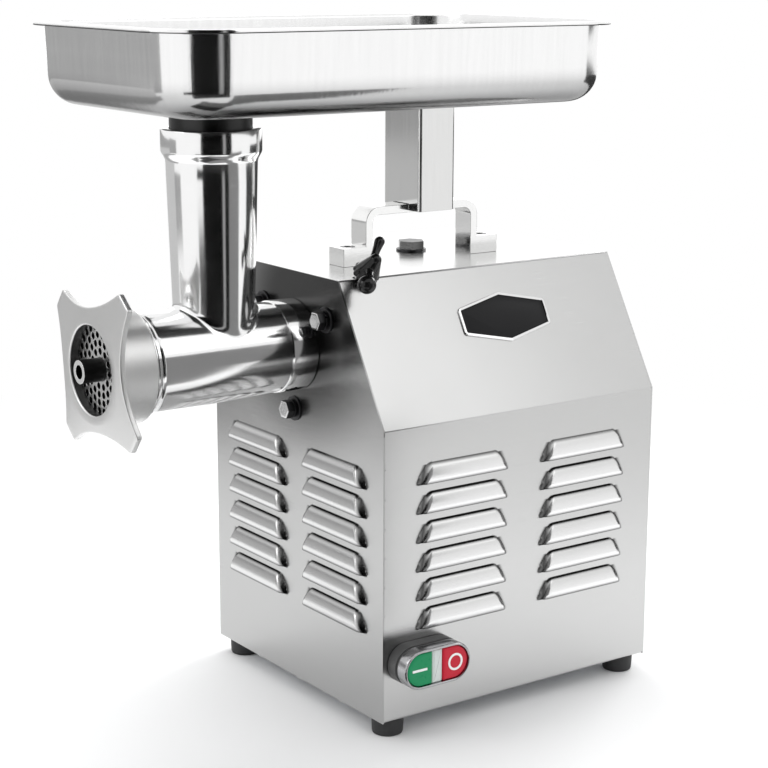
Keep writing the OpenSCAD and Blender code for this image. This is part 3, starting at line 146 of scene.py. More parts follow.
on_table = 0.002
board("front_board", (214, 261), 0.15, 1.3, 0.0)
board("front_low_board", (201, 261), 0.0, 0.15, 0.0)
board("front_strip", (261, 267), 0.0, 1.3, 0.36)
board("front_edge_board", (267, 281), 0.0, 1.3, 0.0)
board("slope_glow", (280, 317), 0.85, 1.8, 1.55)
board("right_board", (-26, 60), 0.0, 0.36, 0.05)
board("top_glow", (25, 85), 0.42, 0.95, 1.7)
board("back_low_board", (85, 138), 0.0, 0.31, 0.57)
board("back_board", (85, 138), 0.31, 0.465, 0.36)
board("back_upper_board", (138, 158), 0.15, 0.5, 0.37)
board("back_floor_board", (85, 150), on_table, on_table, 0.40, near=0.85)
board("front_floor_board", (214, 281), on_table, on_table, 0.02, near=0.80)
card("head_board", [(x, -0.28, z) for x, z in (
    (-0.06, 0.03), (0.065, 0.03), (0.065, 0.2), (0.115, 0.2), (0.115, 0.38), (-0.06, 0.38))], 0.22)
card("head_card", [(x, y, on_table) for x, y in (
    (-0.42, -0.27), (0.01, -0.27), (-0.085, -0.125), (-0.42, -0.125))], 0.05)
card("head_far_card", [(x, y, on_table) for x, y in (
    (-0.42, -0.46), (0.11, -0.46), (0.01, -0.27), (-0.42, -0.27))], 0.25)

world = bpy.data.worlds.new("studio")
scene.world = world
tree = blank_tree(world)
soft = add(tree, "ShaderNodeBackground", {"Color": (0.97, 0.975, 0.98, 1)})
white = add(tree, "ShaderNodeBackground", {"Color": (1, 1, 1, 1)})
ray = tree.nodes.new("ShaderNodeLightPath").outputs
seen = add(tree, "ShaderNodeMath", {0: ray["Is Camera Ray"], 1: ray["Is Glossy Ray"]},
           operation="MAXIMUM")
seen = add(tree, "ShaderNodeMath", {0: seen, 1: ray["Is Transmission Ray"]}, operation="MAXIMUM")
which = add(tree, "ShaderNodeMixShader", {"Fac": seen, 1: soft, 2: white})
add(tree, "ShaderNodeOutputWorld", {"Surface": which})


def lamp(name, place, wide, high, power):
    """A soft rectangular lamp that faces the foot of the object."""
    light = bpy.data.lights.new(name, "AREA")
    light.shape = "RECTANGLE"
    light.size = wide
    light.size_y = high
    light.energy = power
    made = stand(name, light)
    made.location = place
    made.rotation_mode = "QUATERNION"
    made.rotation_quaternion = (Vector(place) - Vector((0, 0, 0.1))).to_track_quat("Z", "Y")


lamp("right_lamp", (1.5, 0.35, 1.15), 0.8, 0.8, 14)
lamp("left_lamp", (-1.5, 0.45, 1.3), 0.8, 0.8, 5)
lamp("top_lamp", (0.1, 0.5, 1.9), 1.0, 0.7, 10)


def circle(radius, steps):
    """A round outline."""
    return [(radius * math.cos(2 * math.pi * k / steps), radius * math.sin(2 * math.pi * k / steps))
            for k in range(steps)]


table_reach, table_sides = 6, 64
table_mesh = bpy.data.meshes.new("table")
table_mesh.from_pydata([(x, y, 0) for x, y in circle(table_reach, table_sides)], [],
                       [tuple(range(table_sides))])
table = stand("table", table_mesh)
table_top = bpy.data.materials.new("table_white")
tree = blank_tree(table_top)
matt = add(tree, "ShaderNodeBsdfDiffuse", {"Color": (0.93, 0.93, 0.93, 1)})
unshaded = add(tree, "ShaderNodeEmission")
far = add(tree, "ShaderNodeVectorMath", {0: whereabouts(tree)}, operation="LENGTH")
fade = add(tree, "ShaderNodeMapRange", {"Value": far, "From Min": 0.35, "From Max": 1.1},
           interpolation_type="SMOOTHSTEP")
blend = add(tree, "ShaderNodeMixShader", {"Fac": fade, 1: matt, 2: unshaded})
add(tree, "ShaderNodeOutputMaterial", {"Surface": blend})
table_mesh.materials.append(table_top)

# ---- Bent cover ------------------------------------------------------------
# One stainless sheet bent into the front, the slope, the top and the back, with
# two columns of pressed louvres in the front. Satin brushed, cut ends darker at the
# joints, a painted shade line along the top fold, and on the louvres a painted
# highlight on their domes and painted shade along their outlines.

mm = 0.001
left_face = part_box("hub_washers")[1][0]
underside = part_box("rubber_feet")[1][2]
auger_y = sum(corner[1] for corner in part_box("head_hub")) / 2
body_l, body_w, body_h = 260 * mm, 235 * mm, 323 * mm
right_face = left_face + body_l
front_face = auger_y - body_w / 2
back_face = front_face + body_w
body_top = underside + body_h
louvre_out = left_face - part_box("left_panel")[0][0]
bend_up = underside + 222 * mm
slope_back = 58 * mm
sheet = 1.2 * mm


def at(x, y, z):
    """A point given in millimetres from the body's lower left front corner."""
    return Vector((left_face + x * mm, front_face + y * mm, underside + z * mm))


def piece(name, verts, faces, outwards=True):
    """A mesh object at the origin, with doubles merged and faces turned outwards."""
    mesh = bpy.data.meshes.new(name)
    mesh.from_pydata([tuple(v) for v in verts], [], faces)
    work = bmesh.new()
    work.from_mesh(mesh)
    bmesh.ops.remove_doubles(work, verts=work.verts, dist=1e-6)
    if outwards:
        bmesh.ops.recalc_face_normals(work, faces=work.faces)
    work.to_mesh(mesh)
    work.free()
    return stand(name, mesh)


def settle(made):
    """Turns an object's modifiers into its mesh and takes them off."""
    bpy.context.view_layer.update()
    depsgraph = bpy.context.evaluated_depsgraph_get()
    mesh = bpy.data.meshes.new_from_object(made.evaluated_get(depsgraph))
    made.modifiers.clear()
    made.data = mesh
    return made


def shaped(made, kind, **settings):
    """Runs one modifier with these settings over an object's mesh."""
    step = made.modifiers.new("step", kind)
    for key, value in settings.items():
        setattr(step, key, value)
    return settle(made)


def smooth(made):
    """Smooth shading all over."""
    for face in made.data.polygons:
        face.use_smooth = True
    return made


def rolled(made, width, limit=40):
    """Rounds an object's edges by a small bevel with flat faces kept flat."""
    shaped(made, "BEVEL", width=width, segments=2, limit_method="ANGLE",
           angle_limit=math.radians(limit), miter_outer="MITER_ARC")
    return shaped(smooth(made), "WEIGHTED_NORMAL", weight=60, keep_sharp=True)


def fit_out(made, body, material, slot, *nodes):
    """Gives a finished piece its material and its body, and hides the CAD nodes it stands for."""
    made.data.materials.clear()
    made.data.materials.append(material)
    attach(made, body)
    if nodes:
        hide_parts(*nodes)
    return made


def metal(name, colour, rough, grain, grain_size, bump=0.15, tone=0.06, spread=0.06,
          metallic=1.0, specular=0.5):
    """A metal or plastic finish with a drawn grain, cloudy roughness and fine relief.

    One number does for a colour that is grey, and for a grain that is even.
    """
    colour, grain = (value if isinstance(value, tuple) else (value,) * 3
                     for value in (colour, grain))
    made = bpy.data.materials.new(name)
    made.use_nodes = True
    tree = made.node_tree
    place = whereabouts(tree)
    stretch = add(tree, "ShaderNodeMapping", {"Vector": place, "Scale": grain})
    lines = add(tree, "ShaderNodeTexNoise", {"Vector": stretch, "Scale": grain_size, "Detail": 4})
    cloud = add(tree, "ShaderNodeTexNoise", {"Vector": place, "Scale": 14, "Detail": 3})
    tones = add(tree, "ShaderNodeMix", {
        "Factor": lines, "A": (*[c * (1 - tone) for c in colour], 1),
        "B": (*[min(1, c * (1 + tone)) for c in colour], 1)}, data_type="RGBA")
    both = add(tree, "ShaderNodeMix", {"Factor": 0.5, "A": lines, "B": cloud})
    dull = add(tree, "ShaderNodeMapRange", {
        "Value": both, "From Min": 0.25, "From Max": 0.75,
        "To Min": max(0.02, rough - spread), "To Max": rough + spread})
    relief = add(tree, "ShaderNodeBump", {"Height": lines, "Strength": bump, "Distance": 0.0002})
    wire(tree, tree.nodes["Principled BSDF"], {
        "Base Color": tones, "Roughness": dull, "Normal": relief,
        "Metallic": metallic, "Specular IOR Level": specular})
    return made


class Number:
    """A value inside a geometry tree that is reckoned with like a plain number."""

    def __init__(self, tree, socket):
        self.tree, self.socket = tree, socket

    def do(self, operation, *values):
        """The sum that one operation makes of these values, in the tree."""
        sum_of = add(self.tree, "ShaderNodeMath", dict(enumerate(values)), operation=operation)
        return Number(self.tree, sum_of.outputs[0])

    def __rsub__(self, other):
        return self.do("SUBTRACT", other, self)


for sign, operation in (
        ("__add__", "ADD"), ("__sub__", "SUBTRACT"), ("__mul__", "MULTIPLY"),
        ("__truediv__", "DIVIDE"), ("__pow__", "POWER"), ("__lt__", "LESS_THAN"),
        ("__gt__", "GREATER_THAN"), ("__abs__", "ABSOLUTE"), ("__floor__", "FLOOR"),
        ("__ceil__", "CEIL"), ("at_least", "MAXIMUM"), ("at_most", "MINIMUM"),
        ("near", "COMPARE")):
    setattr(Number, sign, lambda *values, way=operation: values[0].do(way, *values))


def new_group(name, result, **inputs):
    """A geometry tree whose inputs are listed by kind, and the sockets that bring them in."""
    tree = bpy.data.node_groups.new(name, "GeometryNodeTree")
    for kind, labels in inputs.items():
        for label in labels:
            tree.interface.new_socket(label, in_out="INPUT", socket_type="NodeSocket" + kind)
    tree.interface.new_socket(result, in_out="OUTPUT", socket_type="NodeSocketGeometry")
    return tree, tree.nodes.new("NodeGroupInput").outputs


def end_group(tree, shape, finish):
    """Ends a geometry tree: real geometry, its finish, and the way out."""
    whole = add(tree, "GeometryNodeRealizeInstances", {0: shape})
    paint = add(tree, "GeometryNodeSetMaterial", {"Geometry": whole, "Material": finish})
    add(tree, "NodeGroupOutput", {0: paint})
    return tree


def louvre_tree():
    """Presses columns of louvres out of a flat grid along its sheet's normal."""
    lengths = ("Width", "Height", "Depth", "End taper", "End radius", "Pitch", "Lowest lip",
               "Column spacing", "Column centre", "Slot", "Side sheet")
    tree, start = new_group("Pressed louvres", "Sheet", Geometry=("Sheet",), Float=lengths,
                            Int=("Rows",), Material=("Finish",))
    (width, height, depth, taper, end_r, step, lip, spacing, centre, gap, side, count) = (
        Number(tree, start[label]) for label in lengths + ("Rows",))
    spot = tree.nodes.new("GeometryNodeInputPosition")
    x, y, z = (Number(tree, part) for part in
               add(tree, "ShaderNodeSeparateXYZ", {0: spot}).outputs)
    along = x * (1 - side) + y * side
    column = abs(abs(along - centre) - spacing / 2)
    climb = z - lip
    row = math.floor((climb + 0.0001) / step)
    rise = (climb - row * step) / height
    inside = (row / (count - 1)).near(0.5, 0.501) * ((rise < 1.0) * (rise > -0.001))
    rise = rise.at_least(0.0).at_most(1.0)
    half = width / 2 - taper * rise
    end = ((column - (half - end_r)) / end_r).at_least(0.0)
    edge = 1.0 - end ** 2.0 - rise ** 2.2
    dome = edge.at_least(0.0)
    curl = add(tree, "ShaderNodeMapRange", {"Value": rise, "From Max": 0.28, "To Min": 0.84},
               interpolation_type="SMOOTHSTEP")
    out = dome ** 0.62 * curl * (depth * inside)
    push = add(tree, "ShaderNodeCombineXYZ", {"X": out * (side * -1), "Y": out * (side - 1)})
    below = math.ceil(climb / step) * step - climb
    slot = (below < gap) * (column < width / 2 - 0.001)
    slot = slot * ((climb > gap * -1) * (climb < step * (count - 0.8)))
    # Masks for painted light: the louvres' outlines, ends and lower lips for painted shade, their
    # domes for a painted highlight.
    pressed = Number(tree, add(tree, "GeometryNodeInputNamedAttribute", {
        "Name": "pressed"}).outputs[0])
    fold_line = 1.0 - abs(edge) / 0.26
    ends = (1.0 - abs(end - 0.8) / 0.5) * (rise < 0.9)
    lip_line = (1.0 - rise / 0.16) * (edge > -0.1)
    crease = fold_line.at_least(ends).at_least(lip_line).at_most(1.0)
    crease = crease.at_least(0.0) * (inside * pressed)
    shape = add(tree, "GeometryNodeDeleteGeometry", {
        "Geometry": start["Sheet"], "Selection": slot * pressed}, domain="FACE")
    for label, value in (("crease", crease), ("raised", dome * inside * pressed)):
        shape = add(tree, "GeometryNodeStoreNamedAttribute", {
            "Geometry": shape, "Name": label, "Value": value})
    shape = add(tree, "GeometryNodeSetPosition", {
        "Geometry": shape, "Offset": push, "Selection": pressed})
    return end_group(tree, shape, start["Finish"])


def feed(made, tree, **values):
    """Puts a geometry tree on an object, sets its named inputs and settles the result."""
    press = made.modifiers.new("tree", "NODES")
    press.node_group = tree
    for item in tree.interface.items_tree:
        key = item.name.lower().replace(" ", "_")
        if item.item_type == "SOCKET" and item.in_out == "INPUT" and key in values:
            press[item.identifier] = values[key]
    return settle(made)


def louvre_lines(lip):
    """Heights of a sheet's grid lines: close together over each louvre."""
    lines = []
    for k in range(rows):
        low = lip + k * pitch
        lines += [low - 1.3 * mm, low]
        lines += [low + louvre_h * share for share in (
            0.04, 0.09, 0.16, 0.25, 0.36, 0.48, 0.6, 0.7, 0.78, 0.85, 0.9, 0.94, 0.97, 0.99,
            1.02, 1.08)]
    return lines


def end_lines(centre, spacing):
    """Sideways grid lines: close together over each louvre's two ends."""
    reach = 15 * mm
    lines = []
    for column in (-1, 1):
        middle = centre + column * spacing / 2
        for side in (-1, 1):
            edge = middle + side * louvre_w / 2
            lines += [edge - side * k * reach / 24 for k in range(-3, 25)]
        lines += [middle - louvre_w / 6, middle, middle + louvre_w / 6]
    return sorted(lines)


def colour_of(material):
    """The socket that colours a finish."""
    shader = material.node_tree.nodes["Principled BSDF"]
    return shader.inputs["Base Color"].links[0].from_socket


def paint_louvre_light(material):
    """Paints light into a sheet's finish: a painted highlight on the louvres' domes and painted
    shade along their outlines, ends and lower lips.
    """
    tree = material.node_tree
    under = colour_of(material)
    for label, grey, strength in (("raised", 0.93, 0.8), ("crease", 0.01, 0.93)):
        mark = add(tree, "ShaderNodeAttribute", attribute_name=label)
        much = add(tree, "ShaderNodeMath", {0: mark.outputs["Fac"], 1: strength},
                   operation="MULTIPLY")
        under = add(tree, "ShaderNodeMix", {
            "Factor": much, "A": under, "B": (grey, grey, grey, 1)}, data_type="RGBA")
    wire(tree, tree.nodes["Principled BSDF"], {"Base Color": under})
    return material


def woven(lines, columns, close_lines=False, close_columns=False):
    """Faces of a grid of points that runs line by line, closed round where asked."""
    return [(r * columns + c, r * columns + (c + 1) % columns,
             (r + 1) % lines * columns + (c + 1) % columns, (r + 1) % lines * columns + c)
            for r in range(lines if close_lines else lines - 1)
            for c in range(columns if close_columns else columns - 1)]


def turned_over(faces):
    """Four-cornered faces that look the other way."""
    return [(a, d, c, b) for a, b, c, d in faces]


def arc_at(before, corner, after, radius, steps):
    """Points on the arc that takes a corner's place."""
    before, corner, after = Vector(before), Vector(corner), Vector(after)
    a, b = (before - corner).normalized(), (after - corner).normalized()
    half = a.angle(b) / 2
    cut = min(radius / math.tan(half),
              0.45 * min((before - corner).length, (after - corner).length))
    true_radius = cut * math.tan(half)
    hub = corner + (a + b).normalized() * (true_radius / math.sin(half))
    first, last = corner + a * cut - hub, corner + b * cut - hub
    return [tuple(hub + first.slerp(last, k / steps) * true_radius) for k in range(steps + 1)]


screw_joint = next(j for j in frame["joints"] if j["name"] == "knob_turn")
louvre_w, louvre_h, pitch, rows = 84 * mm, 15 * mm, 22.1 * mm, 6
front_lip, side_lip = underside + 68.5 * mm, underside + 65 * mm
front_spacing, side_spacing = 116.5 * mm, 108.5 * mm
pressing = louvre_tree()
# Satin steel with a painted highlight on the louvres' domes and painted shade along their outlines.
satin = paint_louvre_light(metal("satin_steel", (0.575, 0.575, 0.572), 0.24, (6, 6, 260), 9, bump=0.10,
                     tone=0.035, spread=0.05))


def pressed_sheet(name, verts, faces, reached, **where):
    """A sheet pressed into louvres on the part the press reaches, then given its thickness."""
    made = piece(name, verts, faces, outwards=False)
    mark = made.data.attributes.new("pressed", "FLOAT", "POINT")
    for k, vert in enumerate(made.data.vertices):
        mark.data[k].value = 1.0 if reached(vert.co) else 0.0
    feed(made, pressing, width=louvre_w, height=louvre_h, depth=louvre_out - 0.2 * mm,
         end_taper=7 * mm, end_radius=6.5 * mm, pitch=pitch, slot=1.29 * mm, rows=rows,
         finish=satin, **where)
    return shaped(made, "SOLIDIFY", thickness=sheet, offset=-1)


centre_x = (left_face + right_face) / 2
across = ([left_face + sheet, left_face + sheet + 1 * mm] + end_lines(centre_x, front_spacing)
          + [right_face - sheet - 1 * mm, right_face - sheet])
fold, flap = 2.2 * mm, 10 * mm
path = [(front_face + flap, underside), (front_face, underside), (front_face, bend_up),
        (front_face + slope_back, body_top), (back_face, body_top), (back_face, underside),
        (back_face - flap, underside)]
section = [path[0]]
for before, corner, after in zip(path, path[1:], path[2:]):
    section += arc_at(before, corner, after, fold, 5)
section.append(path[-1])
cut_at = next(k for k, (y, z) in enumerate(section) if abs(z - bend_up) < fold * 2
              and y <= front_face + 1e-6 and z > underside + 50 * mm)
section[cut_at:cut_at] = [(front_face, z) for z in louvre_lines(front_lip)]
cover = pressed_sheet(
    "body_cover", [(x, y, z) for y, z in section for x in across],
    woven(len(section), len(across)),
    lambda v: abs(v.y - front_face) < 1e-6 and v.z < bend_up - fold,
    lowest_lip=front_lip, column_spacing=front_spacing, column_centre=centre_x, side_sheet=0.0)


def pierced(made, tool):
    """Cuts a shape out of a closed piece and takes the cutter away."""
    shaped(made, "BOOLEAN", operation="DIFFERENCE", solver="EXACT", object=tool)
    bpy.data.objects.remove(tool)
    return made


def rod(start, finish, radius, sides=64):
    """A plain closed cylinder between two points, for cutting."""
    turn_to = (Vector(finish) - Vector(start)).to_track_quat("Z", "Y").to_matrix()
    verts = [Vector(end) + turn_to @ Vector((x, y, 0))
             for end in (start, finish) for x, y in circle(radius, sides)]
    faces = woven(2, sides, close_columns=True)
    faces += [tuple(range(sides))[::-1], tuple(range(sides, 2 * sides))]
    return piece("cutter", verts, faces)


screw_at = Vector(screw_joint["pos_m"])
screw_along = Vector(screw_joint["axis"])
pierced(cover, rod(screw_at + screw_along * 60 * mm, screw_at + screw_along * 100 * mm, 6.5 * mm))
rolled(cover, 0.35 * mm)
fit_out(cover, "machine", satin, "satin_steel", "main_cover")


def repaint(made, material, chosen):
    """Gives the faces whose centre and normal pass a test a second finish."""
    made.data.materials.append(material)
    for face in made.data.polygons:
        if chosen(face.center, face.normal):
            face.material_index = len(made.data.materials) - 1


def cut_end_or_fold_shade(centre, normal):
    """Whether a face of the cover lies along its cut ends, dark at the joints, or along the top
    fold, where the dark line is painted shade.
    """
    at_end = min(centre.x - left_face, right_face - centre.x) < 0.3 * mm
    return (abs(normal.x) > 0.6 and centre.y < back_face and at_end) or (
        body_top - 1.2 * mm < centre.z < body_top - 0.02 * mm and centre.y < 0)


# Darker steel: the cut ends dark at the joints, and a painted shade line along the top fold.
joint_and_fold_shade = metal("cut_edge_steel", 0.30, 0.34, (6, 6, 260), 9, bump=0.2, tone=0.05)
repaint(cover, joint_and_fold_shade, cut_end_or_fold_shade)

# ---- Side sheets -----------------------------------------------------------
# Two flat stainless sheets that close the ends of the bent cover, each with two
# columns of the same louvres, with the same painted highlight and shade. The left one
# is cut round for the hub and given painted shade round it.

side_across = sorted([front_face] + end_lines(auger_y, side_spacing)
                     + [front_face + slope_back, back_face])
plain_top = underside + 205 * mm
side_rows = [underside] + louvre_lines(side_lip) + [plain_top]
side_verts = [(left_face, y, z) for z in side_rows for y in side_across]
shares = (0.25, 0.5, 0.75, 1)
for share in shares:
    for y in side_across:
        back_by = min(1, max(0, (y - front_face) / slope_back))
        top = bend_up + (body_top - bend_up) * back_by
        side_verts.append((left_face, y, plain_top + (top - plain_top) * share))
side_faces = turned_over(woven(len(side_rows) + len(shares), len(side_across)))


def side_sheet(name):
    """One louvred side sheet, standing at the left end."""
    return pressed_sheet(name, side_verts, side_faces, lambda v: True, lowest_lip=side_lip,
                         column_spacing=side_spacing, column_centre=auger_y, side_sheet=1.0)


def shaded(material, way, near, far, dark, light=1.0):
    """Paints shade into a finish: its colour falls away towards black between two lengths measured
    in its tree.
    """
    tree = material.node_tree
    unshaded = add(tree, "ShaderNodeMapRange", {
        "Value": way, "From Min": near, "From Max": far, "To Min": dark, "To Max": light},
        interpolation_type="SMOOTHSTEP")
    shade = add(tree, "ShaderNodeMix", {
        "Factor": unshaded, "A": (0.0, 0.0, 0.0, 1), "B": colour_of(material)}, data_type="RGBA")
    wire(tree, tree.nodes["Principled BSDF"], {"Base Color": shade})


left_sheet = side_sheet("left_sheet")
hub_axis = at(0, 117.5, 267)
sideways = Vector((20 * mm, 0, 0))
pierced(left_sheet, rod(hub_axis - sideways, hub_axis + sideways, 31.3 * mm, 96))
rolled(left_sheet, 0.4 * mm)
# Painted shade: the left sheet darkens towards the hub and the head's barrel.
shadowed = satin.copy()
shadowed.name = "satin_steel_hub"
tree = shadowed.node_tree
darkest_at = (left_face, hub_axis.y - 12 * mm, hub_axis.z + 22 * mm)
offset = add(tree, "ShaderNodeVectorMath", {0: whereabouts(tree), 1: darkest_at},
             operation="SUBTRACT")
reach = add(tree, "ShaderNodeVectorMath", {0: offset}, operation="LENGTH")
shaded(shadowed, reach, 40 * mm, 118 * mm, 0.13, 0.80)
fit_out(left_sheet, "machine", shadowed, "satin_steel", "left_panel")

right_sheet = side_sheet("right_sheet")
right_sheet.data.transform(Matrix.Translation((left_face + right_face, 0, 0))
                           @ Matrix.Scale(-1, 4, (1, 0, 0)))
right_sheet.data.flip_normals()
rolled(right_sheet, 0.4 * mm)
fit_out(right_sheet, "machine", satin, "satin_steel", "right_panel")

# ---- Feet, base plate and underside screws ---------------------------------
# Four moulded rubber feet, each held by a screw through the zinc-plated base
# plate, with smaller screws between them that hold the plate to the cover.


def plane_at(middle, up=(0, 1, 0), out=(0, 0, 1)):
    """Places outlines given in millimetres on a plane: right, up and out from its middle."""
    def place(u, v, w):
        return Vector(middle) + (Vector((u, 0, 0)) + Vector(up) * v + Vector(out) * w) * mm
    return place


def stacked(name, loops, place, caps=True):
    """Joins outlines of equal length, each at its own height, into one closed piece."""
    count = len(loops[0][0])
    verts = [place(u, v, height) for points, height in loops for u, v in points]
    faces = woven(len(loops), count, close_columns=True)
    if caps:
        faces += [tuple(range(count))[::-1],
                  tuple(range((len(loops) - 1) * count, len(loops) * count))]
    return piece(name, verts, faces)


plain = plane_at((0, 0, 0))


def turned(name, outline, steps=48, place=plain):
    """A turned piece from a closed outline of (radius, height) pairs in millimetres."""
    return stacked(name, [(circle(r, steps), h) for r, h in outline], place, caps=False)


def repeated(tree, start, points):
    """Puts a tree's piece on each of its points."""
    source = add(tree, "GeometryNodeObjectInfo", {"Object": start["Piece"]})
    return add(tree, "GeometryNodeInstanceOnPoints", {
        "Points": points, "Instance": source.outputs["Geometry"]})


def layout_tree():
    """Sets one piece out on a rectangular grid of places."""
    tree, start = new_group(
        "Set out on a grid", "Pieces", Geometry=("Blank",), Object=("Piece",),
        Float=("Long", "Wide"), Int=("Along", "Across"), Vector=("Centre",), Material=("Finish",))
    grid = add(tree, "GeometryNodeMeshGrid", {
        "Size X": start["Long"], "Size Y": start["Wide"],
        "Vertices X": start["Along"], "Vertices Y": start["Across"]})
    move = add(tree, "GeometryNodeTransform", {"Geometry": grid, "Translation": start["Centre"]})
    return end_group(tree, repeated(tree, start, move), start["Finish"])


def set_out(name, pattern, one, finish, **sizes):
    """Repeats a piece by a geometry tree and keeps only the result."""
    holder = piece(name, [(0, 0, 0)], [], outwards=False)
    feed(holder, pattern, piece=one, finish=finish, **sizes)
    bpy.data.objects.remove(one)
    return holder


def smooth_by(made, limit=35):
    """Smooth shading with edges sharper than the limit kept crisp."""
    smooth(made).data.set_sharp_from_angle(angle=math.radians(limit))
    return made


rubber = metal("foot_rubber", (0.022, 0.022, 0.023), 0.62, 40, 30, bump=0.5, tone=0.2,
               spread=0.1, metallic=0.0)
turned_steel = metal("fastener_steel", 0.60, 0.25, 30, 30, bump=0.2)
zinc = metal("zinc_steel", (0.55, 0.57, 0.60), 0.38, 20, 12, bump=0.1, tone=0.10, spread=0.1)
layout = layout_tree()
four_corners = {"long": 230 * mm, "wide": 205 * mm, "along": 2, "across": 2,
                "centre": at(130, 117.5, 0)}
foot = turned("foot", [
    (5.5, -14), (10.4, -14), (11.3, -13.5), (11.7, -12.4), (12.2, -2.2), (12.4, -0.9),
    (12.1, -0.25), (11.6, 0), (2.7, 0), (2.7, -7), (5.5, -7), (5.5, -14)])
feet = set_out("rubber_foot_set", layout, foot, rubber, **four_corners)
fit_out(smooth_by(feet), "machine", rubber, "foot_rubber", "rubber_feet")

screw = turned("screw", [
    (2.2, -10), (4.2, -10), (4.75, -9.4), (4.8, -7.2), (4.7, -7), (2.5, -7), (2.5, 2.7),
    (3.6, 2.7), (3.9, 3.1), (3.9, 6.2), (3.6, 6.6), (2.5, 6.6), (2.5, 7.4), (2.1, 7.7), (0, 7.7),
    (0, -8.4), (2.0, -8.5), (2.2, -10)], 24)
foot_screw_set = set_out("foot_screw_set", layout, screw, turned_steel, **four_corners)
fit_out(smooth_by(foot_screw_set), "machine", turned_steel, "fastener_steel", "foot_screws")


def finish_node(name, material):
    """Gives a CAD piece that keeps its own shape a textured material."""
    for place in frame["nodes"][name].material_slots:
        place.material = material


finish_node("base_plate", zinc)
finish_node("base_screws", turned_steel)

# ---- Badge plate -----------------------------------------------------------
# A six-sided plate glued to the sloping panel: a black field sunk a little below
# a bright rim. The field is left blank.

slope_up = Vector((0, slope_back, body_top - bend_up)).normalized()
slope_out = Vector((1, 0, 0)).cross(slope_up)
on_slope = plane_at(at(138, 0, 222) + slope_up * 73.5 * mm, slope_up, slope_out)


def corners_of(points):
    """Each corner of a closed outline, with the points before and after it."""
    return zip(points[-1:] + points, points, points[1:] + points)


def softened(points, radius, steps=5):
    """A closed outline whose corners are turned into arcs."""
    ring = []
    for before, corner, after in corners_of(points):
        ring += arc_at(before, corner, after, radius, steps)
    return ring


def shrunk(points, by):
    """An outline drawn in by a distance, for outlines that bulge round the origin."""
    ring = []
    for before, corner, after in corners_of(points):
        before, corner, after = Vector(before), Vector(corner), Vector(after)
        a, b = (corner - before).normalized(), (after - corner).normalized()
        side_a, side_b = Vector((-a.y, a.x)), Vector((-b.y, b.x))
        inwards = (side_a + side_b).normalized()
        ring.append(tuple(corner + inwards * by / max(0.5, inwards.dot(side_a))))
    return ring


outer = softened([(-41.5, -10.5), (0, -20), (41.5, -10.5), (41.5, 10.5), (0, 20), (-41.5, 10.5)],
                 3)
badge_rim = stacked("badge_rim", [(shrunk(outer, by), h) for by, h in (
    (0, 0.05), (0, 1.1), (0.35, 1.55), (1.7, 1.6), (2.1, 1.3), (2.2, 0.5), (2.2, 0.05),
    (0, 0.05))], on_slope, caps=False)
badge_field = stacked("badge_field", [(shrunk(outer, by), h) for by, h in (
    (2.22, 0.06), (2.22, 0.7), (2.5, 0.8))], on_slope)
bright = metal("polished_steel", 0.80, 0.07, (4, 4, 120), 6, bump=0.03, tone=0.03, spread=0.03)
gloss_black = metal("badge_black", (0.010, 0.010, 0.011), 0.40, 60, 20, bump=0.05,
                    tone=0.3, metallic=0.0, specular=0.15)
fit_out(smooth_by(badge_rim), "machine", bright, "polished_steel")
fit_out(smooth_by(badge_field), "machine", gloss_black, "badge_black", "badge_plate")

# ---- Push-button switch ----------------------------------------------------
# A moulded twin switch on the front panel: a dark plastic body, a plated metal
# ring, a green start button, a red stop button and a clear pilot lens between.

on_front = plane_at(at(34, 0, 45.2), (0, 0, 1), (0, -1, 0))
switch_l, switch_h = 60, 30


def stadium(length, height, steps=16):
    """A slot-shaped outline with round ends."""
    r = height / 2
    ring = []
    for side, first in ((1, -90), (-1, 90)):
        for k in range(steps + 1):
            angle = math.radians(first + 180 * k / steps)
            ring.append((side * (length / 2 - r) + r * math.cos(angle), r * math.sin(angle)))
    return ring


def slot_loops(steps):
    """Loops of a stacked slot shape from (distance in from the edge, height) pairs."""
    return [(stadium(switch_l - 2 * d, switch_h - 2 * d), h) for d, h in steps]


def oblong(long, wide, radius, steps=6):
    """A round-cornered rectangle."""
    x, y = long / 2, wide / 2
    return softened([(-x, -y), (x, -y), (x, y), (-x, y)], radius, steps)


housing = stacked("switch_body", slot_loops([
    (0.6, 0.0), (0.3, 0.2), (0.0, 0.6), (0.0, 9.5), (0.35, 9.95), (1.2, 10.0), (1.2, 13.0),
    (2.4, 13.0), (2.4, 5.8)]), on_front)
neck = stacked("switch_neck", [(stadium(46, 16), h) for h in (-13.2, 0.1)], on_front)
ring = stacked("switch_ring", slot_loops([
    (0.0, 13.0), (0.0, 21.4), (0.25, 22.2), (0.9, 22.9), (1.5, 22.95), (2.0, 22.5), (2.2, 21.6),
    (2.2, 13.0), (0.0, 13.0)]), on_front, caps=False)
dark_plastic = metal("switch_plastic", 0.07, 0.42, 50, 30, bump=0.6,
                     tone=0.5, spread=0.08, metallic=0.0)
plated = metal("plated_ring", (0.42, 0.42, 0.43), 0.22, (12, 160, 160), 8, bump=0.08)
fit_out(smooth_by(housing), "machine", dark_plastic, "switch_plastic", "switch_housing")
fit_out(smooth_by(neck), "machine", dark_plastic, "switch_plastic")
fit_out(smooth_by(ring), "machine", plated, "fastener_steel", "switch_bezel")
finish_node("contact_block", dark_plastic)

lens_w, lens_h = 9, 25.4
cap_gap, ring_in = 0.35, 2.5


